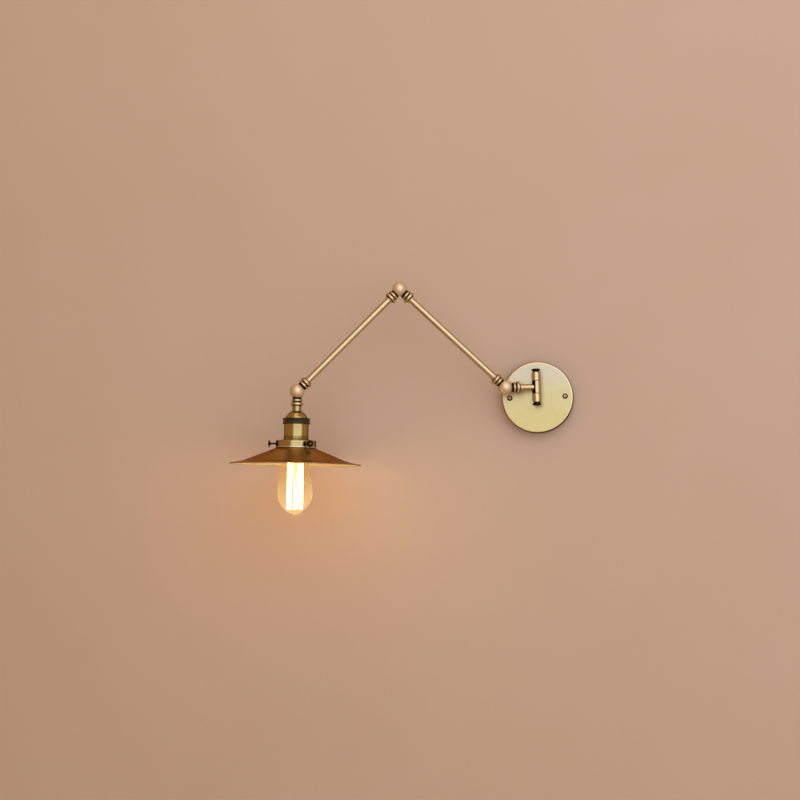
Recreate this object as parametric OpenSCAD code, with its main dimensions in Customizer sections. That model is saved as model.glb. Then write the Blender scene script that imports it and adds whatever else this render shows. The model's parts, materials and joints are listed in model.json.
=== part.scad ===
// Swing arm wall lamp, in millimetres.
// The origin is the middle of the wall plate's back, on the wall. +Z is up, and the lamp stands out along -Y.
// It is drawn with its arms swung a little off the wall and folded in a peak, and the shade hanging level.

/* [Wall plate] */
// Diameter of the wall plate
plate_d = 124; // [120:1:150]
// Distance from the wall to the plate's face
plate_depth = 20; // [18:0.5:28]
// Thickness of the plate's spun sheet
plate_wall = 1.2; // [0.8:0.1:1.6]
// Radius of the plate's rounded edge
plate_edge = 3; // [2:0.5:5]
// Distance from the plate's rim to each plate screw
screw_inset = 14; // [12:0.5:16]
// Thread diameter of the plate screws
screw_d = 4; // [3:0.5:5]
// Diameter of the plate screws' domed heads
screw_head_d = 9.6; // [8:0.2:12]
// Height of the plate screws' domed heads
screw_head_h = 2.8; // [2:0.2:4]

/* [Mounting bar] */
// Width of the mounting bar behind the plate
bar_w = 18; // [14:1:22]
// Thickness of the mounting bar
bar_t = 2; // [1.5:0.25:3]
// Height of the bar's raised end tabs
tab_rise = 12; // [9:0.5:14]
// Distance between the middles of the two wall screw slots
wall_span = 60; // [50:1:62]
// Length of each wall screw slot
slot_len = 12; // [8:0.5:12]
// Width of each wall screw slot
slot_w = 4.6; // [4:0.1:6]
// Width of the terminal block
block_w = 26; // [20:1:32]
// Height of the terminal block
block_h = 16; // [12:1:18]
// Depth of the terminal block
block_t = 12; // [8:0.5:14]

/* [Swivel post] */
// Distance of the pivot pin's axis from the plate's face
pin_out = 22; // [18:0.5:32]
// Height of the stem above the plate's middle
post_rise = 16; // [8:1:18]
// Diameter of the hinge barrel
barrel_d = 14.5; // [14:0.25:18]
// Height of the barrel's turning middle section
tee_h = 21.4; // [16:0.2:26]
// Height of each fixed outer section of the barrel
eye_h = 14.4; // [11:0.2:17]
// Diameter of the pivot pin
pin_d = 6; // [5:0.25:6.5]
// Thickness of the thrust washers
thrust_t = 0.6; // [0.4:0.1:1.2]
// Diameter of the bracket legs between the barrel and the plate
leg_d = 8; // [7:0.25:10]
// Diameter of the studs that pass through the plate
stud_d = 6; // [5:0.5:6.5]
// Diameter of the turned caps on the pin's ends
pin_cap_d = 15; // [13:0.25:19]
// Height of each turned cap with its narrow neck
pin_cap_h = 6; // [5:0.25:9]

/* [Stem and arms] */
// Distance from the pivot pin's axis to the first knuckle
stem_len = 54; // [50:1:80]
// Length of each arm from knuckle to knuckle
arm_len = 248; // [150:1:320]
// Outer diameter of the stem and the arm tubes
tube_d = 10.5; // [9.5:0.25:12]
// Wall thickness of the tubes
tube_wall = 1.2; // [0.8:0.1:1.6]
// Diameter of each insulated inner wire
wire_d = 2; // [1.4:0.1:2.4]

/* [Knuckles] */
// Diameter of the knuckle balls
ball_d = 25; // [24:0.5:30]
// Gap between a half ball and what turns against it
ball_gap = 0.3; // [0.2:0.05:0.5]
// Diameter of the collar's ring beside the ball
ring_d = 18; // [16:0.25:20]
// Diameter of the collar's outer ring
rim_d = 20.5; // [18:0.25:24]
// Width of the collar's ring beside the ball
ring_w = 4.8; // [3.5:0.1:6]
// Width of the collar's outer ring
rim_w = 5.4; // [4:0.1:7]
// Diameter of the hinge screws
hinge_d = 4; // [3:0.25:5]
// Diameter of the hinge screws' heads
hinge_head_d = 7.6; // [6.5:0.1:8.4]
// Diameter of the friction discs between the half balls
disc_d = 15; // [13:0.25:16]
// Thickness of the friction discs
disc_t = 0.9; // [0.6:0.1:1.4]

/* [Lampholder] */
// Diameter of the neck above the domed cap
neck_d = 15.4; // [12.5:0.1:16]
// Length of the neck below the collar
neck_len = 9.8; // [5:0.2:16]
// Outer diameter of the domed cap
dome_d = 37; // [34:0.5:37.5]
// Height of the dome above the lock ring
dome_h = 11.6; // [9:0.2:16]
// Outer diameter of the dark lock ring
lock_ring_d = 46.4; // [44:0.2:50]
// Height of the lock ring
lock_ring_h = 10.2; // [8:0.2:14]
// Outer diameter of the brass shell
shell_d = 40.8; // [40.4:0.1:42]
// Height of the shell below the lock ring
shell_h = 21; // [18:0.2:28]
// Largest diameter of the flared skirt
skirt_d = 47; // [45:0.5:52]
// Height of the flared skirt
skirt_h = 6.6; // [5:0.2:9]
// Wall thickness of the lampholder's metal parts
holder_wall = 1; // [0.8:0.1:1.1]
// Outer diameter of the threaded nipple in the neck
nipple_d = 10; // [8:0.25:10]

/* [Gallery and shade] */
// Outer diameter of the gallery ring
gallery_d = 68; // [66:0.5:78]
// Height of the gallery ring
gallery_h = 12.2; // [11:0.2:16]
// Wall thickness of the gallery ring
gallery_wall = 1.6; // [1.2:0.1:2]
// Diameter of the thumbscrews' threads
thumb_d = 3; // [2.5:0.25:3.5]
// Diameter of the thumbscrews' heads
thumb_head_d = 11.6; // [9:0.2:12]
// Thickness of the thumbscrews' heads
thumb_head_t = 3.6; // [2.5:0.1:5]
// Length of thread that shows outside the gallery ring
thumb_reach = 8.7; // [6:0.1:12]
// Overall diameter of the shade
shade_d = 220; // [180:1:300]
// Width of the flatter brim round the shade
brim_w = 18; // [12:1:24]
// Height of the shade's cone below the gallery ring
cone_drop = 23; // [18:0.2:60]
// Height that the brim falls from the cone to the rim
brim_drop = 3.2; // [1:0.2:8]
// Thickness of the shade's sheet
shade_wall = 1; // [0.8:0.1:1.4]
// Outer diameter of the shade's neck inside the gallery ring
shade_neck_d = 56.6; // [54:0.2:58]

/* [Bulb] */
// Largest diameter of the bulb's glass
bulb_d = 60; // [45:1:64]
// Length of glass below the lampholder's mouth
bulb_len = 120.5; // [100:0.5:140]
// Length of the rounded end below the widest part
bulb_end = 33; // [25:1:40]
// Thickness of the glass
glass_wall = 0.8; // [0.6:0.1:1]
// Outer diameter of the bulb's screw cap
cap_d = 26.4; // [26:0.1:26.6]
// Height of the bulb's screw cap
cap_h = 22; // [20:0.2:22]
// Diameter of the filament's cage
cage_d = 27; // [20:0.5:30]
// Height of the filament's cage
cage_h = 80; // [40:1:84]
// Number of filament strands
strands = 18; // [10:2:24]
// Diameter of the coiled filament
filament_d = 0.6; // [0.4:0.1:0.8]

/* [Pose] */
// Angle between the stem and the wall
swing = 15; // [10:1:90]
// Angle of the lower arm above level
lower_rise = 44; // [-40:1:80]
// Angle of the upper arm below level
upper_fall = 44; // [-40:1:60]
// Lean of the lamp head away from the plate
head_lean = 2.5; // [-30:0.5:30]

/* [Hidden] */

// finishes
aged_brass = "#b4945a";
pale_brass = "#d6c393";
bronze = "#4a3624";
dark_plastic = "#37332f";
steel = "#a9a9a6";
ceramic = "#ece7dc";
fibre = "#6b5440";
lead = "#d8d2c4";
clear_glass = [0.95, 0.9, 0.78, 0.35];
glow = "#ffcf70";

// smoothness of round parts, and clearances between them
round_n = 96;
small_n = 48;
fit = 0.05;      // radius of a pin or a tube to the wall of its bore
slack = 0.25;    // radius of a screw head, a ceramic body or a bulb cap to the wall around it
slide_gap = 0.05; // flat faces that turn on each other

// wall plate and mounting bar
screw_x = plate_d / 2 - screw_inset;
screw_seat = tab_rise - 1.5;      // the plate screws end this far off the wall
tab_half = 6;                     // from the plate screw to the inner end of its tab
ramp = 3;                         // width of the bar's slope up to each tab
tongue_w = 20;
earth_x = 12;
block_screw_d = 3;
block_z = -bar_w / 2 - 7 - block_h / 2;

// swivel post, measured from the pin's axis at the height of the stem
eye_from = tee_h / 2 + thrust_t;
eye_mid = eye_from + eye_h / 2;
post_end = eye_from + eye_h;
pin_screwed = pin_cap_h * 0.7;    // length of pin inside each cap
shoulder_d = leg_d + 4.4;
shoulder_t = 2;
nut_t = 5;
nut_flats = stud_d * 1.65;
washer_d = stud_d * 2;
washer_t = 1;
stud_end = pin_out + plate_wall + washer_t + nut_t + 1.2;
wireway_d = 3;
stem_seat = pin_d / 2 + 1.4;      // the stem tube is screwed into the tee up to here

// knuckle collar, measured along the arm from the ball's centre
ball_r = ball_d / 2;
tube_r = tube_d / 2;
ring_from = ball_r + 0.4;
ring_to = ring_from + ring_w;
rim_from = ring_to + 1.1;
rim_to = rim_from + rim_w;
sleeve_to = rim_to + 3.4;
sleeve_r = tube_r + 1.1;
socket_from = ring_to + 1.5;      // the tube is screwed in up to here
throat_from = ring_from + 1.8;    // the wires come out of the collar here
bore_r = tube_r - tube_wall;
wire_x = bore_r - wire_d / 2 - 0.15;
chamber_r = ball_r - 2.3;
chamber_depth = ball_r * 0.38;
head_seat = ball_r * 0.56;        // the hinge screw's head lies this far behind the ball's middle
spring_t = 0.5;
hinge_head_t = 2.6;
thread_depth = ball_r * 0.68;

// lampholder, measured down the head's axis from the last ball's centre
neck_to = rim_to + neck_len;
dome_to = neck_to + dome_h;
ring_split = dome_to + lock_ring_h / 2;
lock_ring_to = dome_to + lock_ring_h;
shell_to = lock_ring_to + shell_h;
skirt_to = shell_to + skirt_h;
dome_top_r = neck_d / 2 + 0.2;
dome_foot_r = dome_d / 2;
dome_mid = (dome_foot_r ^ 2 + dome_to ^ 2 - dome_top_r ^ 2 - neck_to ^ 2) / (2 * dome_h);
dome_r = norm([dome_foot_r, dome_to - dome_mid]);
shell_r = shell_d / 2;
tail_r = shell_r - 1.1;           // the shell's threaded tail inside the skirt
tail_in_r = tail_r - holder_wall + 0.1;
flange_r = shell_r - holder_wall - 0.1;
flange_from = ring_split + 2;
flange_to = flange_from + 4;
clamp_t = 3.4;
tail_to = skirt_to + gallery_wall + clamp_t + 0.6;
cap_r = cap_d / 2;
contact_r = cap_r + slack + 0.8;  // outside of the screw contact
floor_at = lock_ring_to + 3.2;    // floor of the insulator's cup
cap_from = floor_at + 3;

// gallery and shade, down the same axis
gallery_to = skirt_to + gallery_h;
gallery_r = gallery_d / 2;
thumb_at = skirt_to + gallery_h / 2;
thumb_angles = [0, -120, 120];
shade_neck_r = shade_neck_d / 2;
neck_top = skirt_to + gallery_wall + 0.7;
cone_from = gallery_to + 0.9;
cone_r = shade_d / 2 - brim_w;
cone_slope = cone_drop / (cone_r - gallery_r);
cone_to = cone_from + cone_drop;
rim_at = cone_to + brim_drop;
brim_slope = brim_drop / brim_w;
bend = 5;                         // half width of the soft bend between cone and brim

// bulb, down the same axis
glass_from = cap_from + cap_h - 8;
cap_to = cap_from + cap_h;
glass_end = tail_to + bulb_len;
widest_at = glass_end - bulb_end;
glass_neck_r = cap_r - 0.6;
cage_to = glass_end - 11;
cage_from = cage_to - cage_h;
stem_from = glass_from + 5;         // where the stem's seal ends
rod_from = cage_from - 8.5;         // where the stem has narrowed to its rod
stem_rod_r = 1.7;
button_r = 2.7;                     // the glass button that holds the lower hooks
lead_foot_r = 3.9;                  // distance from the axis at which the leads leave the stem
hook_wire_d = 0.4;
lead_wire_d = 0.5;

// The parts of an arc about centre c, from angle a to angle b
function arc(c, r, a, b, n) = [for (i = [0:n]) let (t = a + (b - a) * i / n) c + r * [cos(t), sin(t)]];

// A unit vector to the left of the way from p to q
function side(p, q) = let (d = q - p) [-d.y, d.x] / norm(d);

// The outline of a sheet of thickness t, laid along the left of a line of points
function sheet(line, t) = let (n = len(line)) concat(line, [for (i = [n - 1:-1:0])
    let (a = side(line[max(i - 1, 0)], line[max(i, 1)]),
        b = side(line[min(i, n - 2)], line[min(i + 1, n - 1)]))
    line[i] + t * (a + b) / (1 + a * b)]);

// A body spun from sheet
module spun(line, t) rotate_extrude($fn = round_n) polygon(sheet(line, t));

// Half outline of a turned length from z0 to z1, its outer corners rounded to e
module turned(r, z0, z1, e) {
    translate([0, z0]) square([r - e, z1 - z0]);
    translate([0, z0 + e]) square([r, z1 - z0 - 2 * e]);
    for (z = [z0 + e, z1 - e]) translate([r - e, z]) circle(r = e, $fn = 24);
}

// A straight round bar between two points
module rod(p, q, d) {
    v = q - p;
    translate(p) rotate([0, acos(v.z / norm(v)), atan2(v.y, v.x)]) cylinder(d = d, h = norm(v), $fn = 16);
}

// A round hole along Z, of diameter d, from 1 below the plane z = 0
module bore(d, h) translate([0, 0, -1]) cylinder(d = d, h = h + 1, $fn = small_n);

// Frames: the plate's X right, Y up, Z off the wall; the post's on the pin's axis at the stem's height
module plate_frame() rotate([90, 0, 0]) children();
module post_frame() translate([0, -plate_depth - pin_out, post_rise]) children();

// The stem's and the arms' X run away from the post, and Y is the side that faces off the wall
module stem_frame() post_frame() rotate([0, 0, 180 + swing]) children();
module base_frame() stem_frame() translate([stem_len, 0, 0]) children();
module lower_frame() base_frame() rotate([0, -lower_rise, 0]) children();
module elbow_frame() lower_frame() translate([arm_len, 0, 0]) children();
module upper_frame() elbow_frame() rotate([0, lower_rise + upper_fall, 0]) children();

// The head's Z runs down its axis, away from the last ball's centre
module head_frame() upper_frame() translate([arm_len, 0, 0])
    rotate([180, -upper_fall - head_lean, 0]) children();

// Wall plate: a spun cup that stands on the wall and covers the mounting bar
module wall_plate() color(pale_brass) plate_frame() difference() {
    spun(concat([[plate_d / 2, 0]],
        arc([plate_d / 2 - plate_edge, plate_depth - plate_edge], plate_edge, 0, 90, 8),
        [[0, plate_depth]]), plate_wall);
    for (x = [-1, 1]) translate([x * screw_x, 0, 0]) bore(screw_d + 0.6, plate_depth + 1);
    for (z = [-1, 1]) translate([0, post_rise + z * eye_mid, 0]) bore(stud_d + 0.4, plate_depth + 1);
}

// Mounting bar: a strip flat on the wall, with a raised tab at each end and a tongue for the terminals
module mounting_bar() color(steel) difference() {
    union() {
        translate([0, 0, -bar_w / 2]) linear_extrude(bar_w) for (m = [0, 1]) mirror([m, 0]) polygon([
            [0, 0], [screw_x - tab_half - ramp, 0], [screw_x - tab_half, -tab_rise + bar_t],
            [screw_x + tab_half, -tab_rise + bar_t], [screw_x + tab_half, -tab_rise],
            [screw_x - tab_half - 0.6, -tab_rise], [screw_x - tab_half - ramp - 0.6, -bar_t], [0, -bar_t]]);
        foot = block_z - block_h / 2;
        translate([-tongue_w / 2, -bar_t, foot]) cube([tongue_w, bar_t, -foot]);
    }
    plate_frame() {
        for (x = [-1, 1]) {
            translate([x * screw_x, 0, 0]) bore(screw_d + 2 * fit, plate_depth);
            translate([x * wall_span / 2, 0, 0]) slot();
        }
        translate([-earth_x, 0, 0]) bore(screw_d + 2 * fit, plate_depth);
        translate([0, block_z, 0]) bore(block_screw_d + 2 * fit, plate_depth);
    }
}

// A cut with round ends, along X
module slot() {
    for (x = [-1, 1]) translate([x * (slot_len - slot_w) / 2, 0, 0]) bore(slot_w, bar_t + 1);
    translate([(slot_w - slot_len) / 2, -slot_w / 2, -1]) cube([slot_len - slot_w, slot_w, bar_t + 2]);
}

// A domed screw head with a crossed recess, on the plane z = 0
module domed_head(d, h) difference() {
    translate([0, 0, h - (h * h + d * d / 4) / (2 * h)]) intersection() {
        sphere(r = (h * h + d * d / 4) / (2 * h), $fn = small_n);
        translate([-d, -d, (h * h + d * d / 4) / (2 * h) - h]) cube([2 * d, 2 * d, h + 1]);
    }
    for (a = [0, 90]) rotate(a) translate([-d * 0.29, -0.55, h - 1.3]) cube([d * 0.58, 1.1, 2]);
}

// Plate screws: they hold the plate to the bar's tabs
module plate_screws() color(bronze) plate_frame() for (x = [-1, 1]) translate([x * screw_x, 0, 0]) {
    translate([0, 0, screw_seat]) cylinder(d = screw_d, h = plate_depth - screw_seat, $fn = small_n);
    translate([0, 0, plate_depth]) domed_head(screw_head_d, screw_head_h);
}

// Earth screw and its cupped washer, on the mounting bar
module earth_screw() color(aged_brass) plate_frame() translate([-earth_x, 0, 0]) {
    translate([0, 0, bar_t + 1]) domed_head(2 * screw_d, 2.4);
    cylinder(d = screw_d, h = bar_t + 1, $fn = small_n);
    translate([0, 0, bar_t]) difference() {
        cylinder(d = 2.4 * screw_d, h = 1, $fn = small_n);
        bore(screw_d + 2 * fit, 2);
    }
}

// Terminal block: a ceramic block with two wire ways and their clamping screw holes
module terminal_block() color(ceramic) plate_frame() translate([0, block_z, bar_t]) difference() {
    translate([-block_w / 2, -block_h / 2, 0]) cube([block_w, block_h, block_t]);
    for (x = [-1, 1]) translate([x * block_w * 0.28, 0, block_t * 0.42]) {
        translate([0, block_h, 0]) rotate([90, 0, 0]) bore(3.4, 2 * block_h);
        for (y = [-1, 1]) translate([0, y * block_h * 0.25, 1]) bore(3.2, block_t);
    }
    bore(block_screw_d + 2 * fit, block_t + 1);
    translate([0, 0, block_t - 2]) bore(2 * block_screw_d + 0.6, 3);
}

// Block screw: it holds the terminal block on the bar's tongue
module block_screw() color(steel) plate_frame() translate([0, block_z, 0]) {
    cylinder(d = block_screw_d, h = bar_t + block_t - 3, $fn = small_n);
    translate([0, 0, bar_t + block_t - 3]) domed_head(2 * block_screw_d, 2);
}

// A fixed end section of the hinge barrel, with the leg and the stud that carry it
module eye(up) difference() {
    union() {
        translate([0, 0, up * eye_mid - eye_h / 2]) rotate_extrude($fn = round_n)
            turned(barrel_d / 2, 0, eye_h, 0.5);
        translate([0, 0, up * eye_mid]) rotate([-90, 0, 0]) {
            translate([0, 0, pin_d * 0.75]) cylinder(d = leg_d, h = pin_out - pin_d * 0.75, $fn = round_n);
            translate([0, 0, pin_out - shoulder_t]) cylinder(d = shoulder_d, h = shoulder_t, $fn = round_n);
            translate([0, 0, pin_out - 1]) cylinder(d = stud_d, h = stud_end - pin_out + 1, $fn = round_n);
        }
    }
    cylinder(d = pin_d + 2 * fit, h = 4 * post_end, center = true, $fn = small_n);
    if (up < 0) translate([0, 0, up * eye_mid]) rotate([-90, 0, 0]) bore(wireway_d, stud_end + 1);
}

module upper_eye() color(aged_brass) post_frame() eye(1);
module lower_eye() color(aged_brass) post_frame() eye(-1);

// Stud nuts: two hexagon nuts and their washers, behind the plate's face
module stud_nuts() color(steel) post_frame() for (z = [-1, 1])
    translate([0, pin_out + plate_wall, z * eye_mid]) rotate([-90, 0, 0]) {
        difference() {
            cylinder(d = washer_d, h = washer_t, $fn = small_n);
            bore(stud_d + 2 * fit, washer_t + 1);
        }
        translate([0, 0, washer_t]) difference() {
            cylinder(d = nut_flats / cos(30), h = nut_t, $fn = 6);
            bore(stud_d + 2 * fit, nut_t + 1);
        }
    }

// Pivot pin: hollow for the wires. A window milled half way round it faces the stem wherever that swings,
// and a cross hole lets the wires out into the lower leg.
module pivot_pin() color(steel) post_frame() difference() {
    cylinder(d = pin_d, h = 2 * (post_end + pin_screwed), center = true, $fn = small_n);
    cylinder(d = wireway_d, h = 2 * eye_mid + wireway_d, center = true, $fn = small_n);
    translate([-pin_d, -pin_d, -wireway_d / 2]) cube([2 * pin_d, pin_d, wireway_d]);
    translate([0, 0, -eye_mid]) rotate([-90, 0, 0]) cylinder(d = wireway_d, h = pin_d, $fn = small_n);
}

// A turned cap on an end of the pin: a narrow neck under a rounded flange
module pin_cap() difference() {
    rotate_extrude($fn = round_n) {
        square([barrel_d * 0.36, pin_cap_h - 1]);
        turned(pin_cap_d / 2, pin_cap_h * 0.42, pin_cap_h - 0.6, 0.9);
        turned(pin_cap_d * 0.36, pin_cap_h - 2, pin_cap_h, 0.6);
    }
    bore(pin_d + 2 * fit, pin_screwed);
}

module top_pin_cap() color(bronze) post_frame() translate([0, 0, post_end]) pin_cap();
module bottom_pin_cap() color(bronze) post_frame() translate([0, 0, -post_end]) mirror([0, 0, 1]) pin_cap();

// Tee: the middle section of the barrel, which turns on the pin and carries the stem
module tee() color(aged_brass) stem_frame() difference() {
    translate([0, 0, -tee_h / 2]) rotate_extrude($fn = round_n) turned(barrel_d / 2, 0, tee_h, 0.5);
    cylinder(d = pin_d + 2 * fit, h = tee_h + 2, center = true, $fn = small_n);
    rotate([0, 90, 0]) cylinder(d = wireway_d, h = barrel_d, $fn = small_n);
    translate([stem_seat, 0, 0]) rotate([0, 90, 0])
        cylinder(d = tube_d + 2 * fit, h = barrel_d, $fn = round_n);
}

// Thrust washers between the barrel's sections, which turn with the tee
module thrust_washers() color(fibre) post_frame() for (m = [0, 1]) mirror([0, 0, m])
    translate([0, 0, tee_h / 2]) difference() {
        cylinder(d = barrel_d - 1.2, h = thrust_t - slide_gap, $fn = round_n);
        bore(pin_d + 2 * fit, thrust_t + 1);
    }

// A tube from x0 to x1 along X
module tube(x0, x1) translate([x0, 0, 0]) rotate([0, 90, 0]) difference() {
    cylinder(d = tube_d, h = x1 - x0, $fn = round_n);
    translate([0, 0, -1]) cylinder(r = bore_r, h = x1 - x0 + 2, $fn = round_n);
}

// The two wires that lie along a tube's wall from x0 to x1
module wires(x0, x1) for (y = [-1, 1]) translate([x0, y * wire_x, 0]) rotate([0, 90, 0])
    cylinder(d = wire_d, h = x1 - x0, $fn = small_n);

// Stem: a short tube between the tee and the first knuckle
module stem_tube() color(aged_brass) stem_frame() tube(stem_seat, stem_len - socket_from);
module stem_wires() color(lead) stem_frame() wires(stem_seat + 0.6, stem_len - throat_from - 0.5);

// Depth into the half of a ball on the side that s gives: 1 is the front and -1 the rear
module into(s) rotate([-90 * s, 0, 0]) children();

// Outline of a collar turned round the arm: a throat, two rings, a cone and a sleeve or a longer neck
module collar(end, end_r) {
    translate([0, ball_r * 0.8]) square([ball_r * 0.6, rim_to - ball_r * 0.8]);
    turned(ring_d / 2, ring_from, ring_to, ring_w * 0.42);
    turned(rim_d / 2, rim_from, rim_to, rim_w * 0.4);
    polygon([[0, rim_to - 1], [rim_d / 2 - 2.6, rim_to - 0.2], [end_r, rim_to + 1.6], [end_r, end - 0.5],
        [end_r - 0.5, end], [0, end]]);
}

// Half of a knuckle ball with its collar. The collar lies along X and the hinge along Y.
// The collar hugs the other half with a hollow seat. Inside, the wires pass round the hinge screw.
module half_ball(s, end, end_r, socket_r) difference() {
    union() {
        into(s) intersection() {
            sphere(r = ball_r, $fn = round_n);
            translate([-ball_r, -ball_r, ball_gap / 2]) cube([ball_d, ball_d, ball_r]);
        }
        difference() {
            rotate([0, 90, 0]) rotate_extrude($fn = round_n) collar(end, end_r);
            into(-s) intersection() {
                sphere(r = ball_r + ball_gap, $fn = round_n);
                translate([-ball_d, -ball_d, -ball_gap / 2]) cube([2 * ball_d, 2 * ball_d, ball_d]);
            }
        }
    }
    into(s) {
        difference() {
            cylinder(r = chamber_r, h = chamber_depth, $fn = round_n);
            translate([0, 0, -1]) cylinder(d = disc_d + 1, h = chamber_depth + 2, $fn = round_n);
        }
        translate([chamber_r - 2, 0, chamber_depth * 0.55]) rotate([0, 90, 0])
            cylinder(r = chamber_depth * 0.4, h = throat_from - chamber_r + 3, $fn = small_n);
    }
    translate([throat_from, 0, 0]) rotate([0, 90, 0]) cylinder(r = bore_r, h = end, $fn = round_n);
    translate([socket_from, 0, 0]) rotate([0, 90, 0]) cylinder(r = socket_r, h = end, $fn = round_n);
    if (s > 0) into(s) {
        cylinder(d = disc_d + 2 * fit, h = ball_gap / 2 + disc_t * 0.7, $fn = round_n);
        cylinder(d = hinge_d + 2 * fit, h = thread_depth + 0.6, $fn = small_n);
    } else into(s) {
        cylinder(d = hinge_d + 2 * fit, h = ball_r, $fn = small_n);
        translate([0, 0, head_seat]) cylinder(d = hinge_head_d + 2 * slack, h = ball_r, $fn = small_n);
    }
}

// The half balls' sleeves that hold a tube
module arm_half(s) half_ball(s, sleeve_to, sleeve_r, tube_r + fit);

// A slotted hinge screw: its head lies sunk in the rear half, and its thread in the front half
module hinge_screw() color(steel) into(-1) difference() {
    union() {
        under_head = head_seat + slide_gap + spring_t;
        translate([0, 0, -thread_depth]) cylinder(d = hinge_d, h = thread_depth + under_head, $fn = small_n);
        translate([0, 0, under_head]) cylinder(d = hinge_head_d, h = hinge_head_t, $fn = small_n);
    }
    translate([-hinge_head_d, -0.5, head_seat + spring_t + hinge_head_t - 1]) cube([2 * hinge_head_d, 1, 2]);
}

// A cone spring washer, which keeps the knuckle tight
module spring_washer() color(steel) into(-1) translate([0, 0, head_seat + slide_gap])
    rotate_extrude($fn = small_n) polygon([[hinge_d / 2 + fit, spring_t - 0.22],
        [hinge_head_d / 2 - 0.2, 0], [hinge_head_d / 2, 0.22], [hinge_d / 2 + fit, spring_t]]);

// A friction disc, seated in the front half and rubbed by the rear one
module friction_disc() color(fibre) into(1) translate([0, 0, ball_gap / 2 - disc_t * 0.3]) difference() {
    top = disc_t;
    bottom = disc_t * 0.3 - ball_gap + slide_gap;
    translate([0, 0, bottom]) cylinder(d = disc_d, h = top - bottom, $fn = round_n);
    translate([0, 0, bottom - 1]) cylinder(d = hinge_d + 2 * fit, h = top + 2, $fn = small_n);
}

// Base knuckle: the rear half is on the stem and the front half on the lower arm
module base_rear_half() color(aged_brass) base_frame() rotate([0, 180, 0]) arm_half(-1);
module base_front_half() color(aged_brass) lower_frame() arm_half(1);
module base_hinge_screw() lower_frame() hinge_screw();
module base_spring_washer() lower_frame() spring_washer();
module base_friction_disc() lower_frame() friction_disc();

// Arm tubes and the wires inside them
module arm_tube() color(aged_brass) tube(socket_from, arm_len - socket_from);
module arm_wires() color(lead) wires(throat_from + 0.5, arm_len - throat_from - 0.5);
module lower_arm_tube() lower_frame() arm_tube();
module lower_arm_wires() lower_frame() arm_wires();
module upper_arm_tube() upper_frame() arm_tube();
module upper_arm_wires() upper_frame() arm_wires();

// Elbow knuckle: the rear half ends the lower arm and the front half begins the upper arm
module elbow_rear_half() color(aged_brass) elbow_frame() rotate([0, 180, 0]) arm_half(-1);
module elbow_front_half() color(aged_brass) upper_frame() arm_half(1);
module elbow_hinge_screw() upper_frame() hinge_screw();
module elbow_spring_washer() upper_frame() spring_washer();
module elbow_friction_disc() upper_frame() friction_disc();

// Head knuckle: the rear half ends the upper arm, and the front half has the lamp head's neck
module last_ball() head_frame() rotate([180, -90, 0]) children();
module head_rear_half() color(aged_brass) upper_frame() translate([arm_len, 0, 0])
    rotate([0, 180, 0]) arm_half(-1);
module head_front_half() color(aged_brass) last_ball()
    half_ball(1, neck_to, neck_d / 2, nipple_d / 2 + fit);
module head_hinge_screw() last_ball() hinge_screw();
module head_spring_washer() last_ball() spring_washer();
module head_friction_disc() last_ball() friction_disc();

// Nipple: a threaded tube that joins the neck to the domed cap
module nipple() color(steel) head_frame() translate([0, 0, socket_from]) difference() {
    cylinder(d = nipple_d, h = neck_to + 6 - socket_from, $fn = small_n);
    bore(nipple_d - 2.4, 2 * neck_to);
}

// Nipple nut: it clamps the cap up against the neck
module nipple_nut() color(steel) head_frame() translate([0, 0, neck_to + holder_wall]) difference() {
    cylinder(r = dome_top_r - 0.1, h = 3, $fn = 6);
    bore(nipple_d + 2 * fit, 4);
}

// Domed cap: a spun dome with a skirt that enters the lock ring
module domed_cap() color(aged_brass) head_frame() spun(concat([[nipple_d / 2 + fit, neck_to]],
    arc([0, dome_mid], dome_r, atan2(neck_to - dome_mid, dome_top_r),
        atan2(dome_to - dome_mid, dome_foot_r), 12),
    [[dome_foot_r, ring_split - 0.1]]), holder_wall);

// Lock ring: a waisted ring of dark plastic that joins the cap and the shell
module lock_ring() color(dark_plastic) head_frame() rotate_extrude($fn = round_n) {
    out = lock_ring_d / 2;
    waist = 0.7;
    polygon(concat([[dome_foot_r + fit, dome_to], [out - 0.8, dome_to], [out, dome_to + 0.8]],
        [for (i = [0:8]) [out - waist * sin(22.5 * i), dome_to + 1.8 + (lock_ring_h - 3.6) * i / 8]],
        [[out, lock_ring_to - 0.8], [out - 0.8, lock_ring_to], [shell_r + fit, lock_ring_to],
        [shell_r + fit, ring_split], [dome_foot_r + fit, ring_split]]));
}

// Shell: a turned tube with a ledge for the insulator and a threaded tail for the skirt and the clamp ring
module holder_shell() color(aged_brass) head_frame() rotate_extrude($fn = round_n) polygon([
    [shell_r, ring_split + 0.1], [shell_r, shell_to - 0.5], [shell_r - 0.5, shell_to], [tail_r, shell_to],
    [tail_r, tail_to], [tail_in_r, tail_to], [tail_in_r, flange_to],
    [shell_r - holder_wall, flange_to], [shell_r - holder_wall, ring_split + 0.1]]);

// Skirt: a ring with a bead at its top and a hollow flare down to the gallery
module holder_skirt() color(aged_brass) head_frame() rotate_extrude($fn = round_n) polygon(concat(
    [[tail_r + fit, skirt_to], [tail_r + fit, shell_to + 0.1], [shell_r - 0.4, shell_to + 0.1]],
    arc([shell_r - 0.4, shell_to + 1.1], 1, -90, 90, 8),
    [for (i = [1:8]) [shell_r - 0.4 + (skirt_d / 2 - shell_r + 0.4) * (i / 8) ^ 1.8,
        shell_to + 2.1 + (skirt_h - 2.9) * i / 8]],
    [[skirt_d / 2, skirt_to]]));

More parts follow.
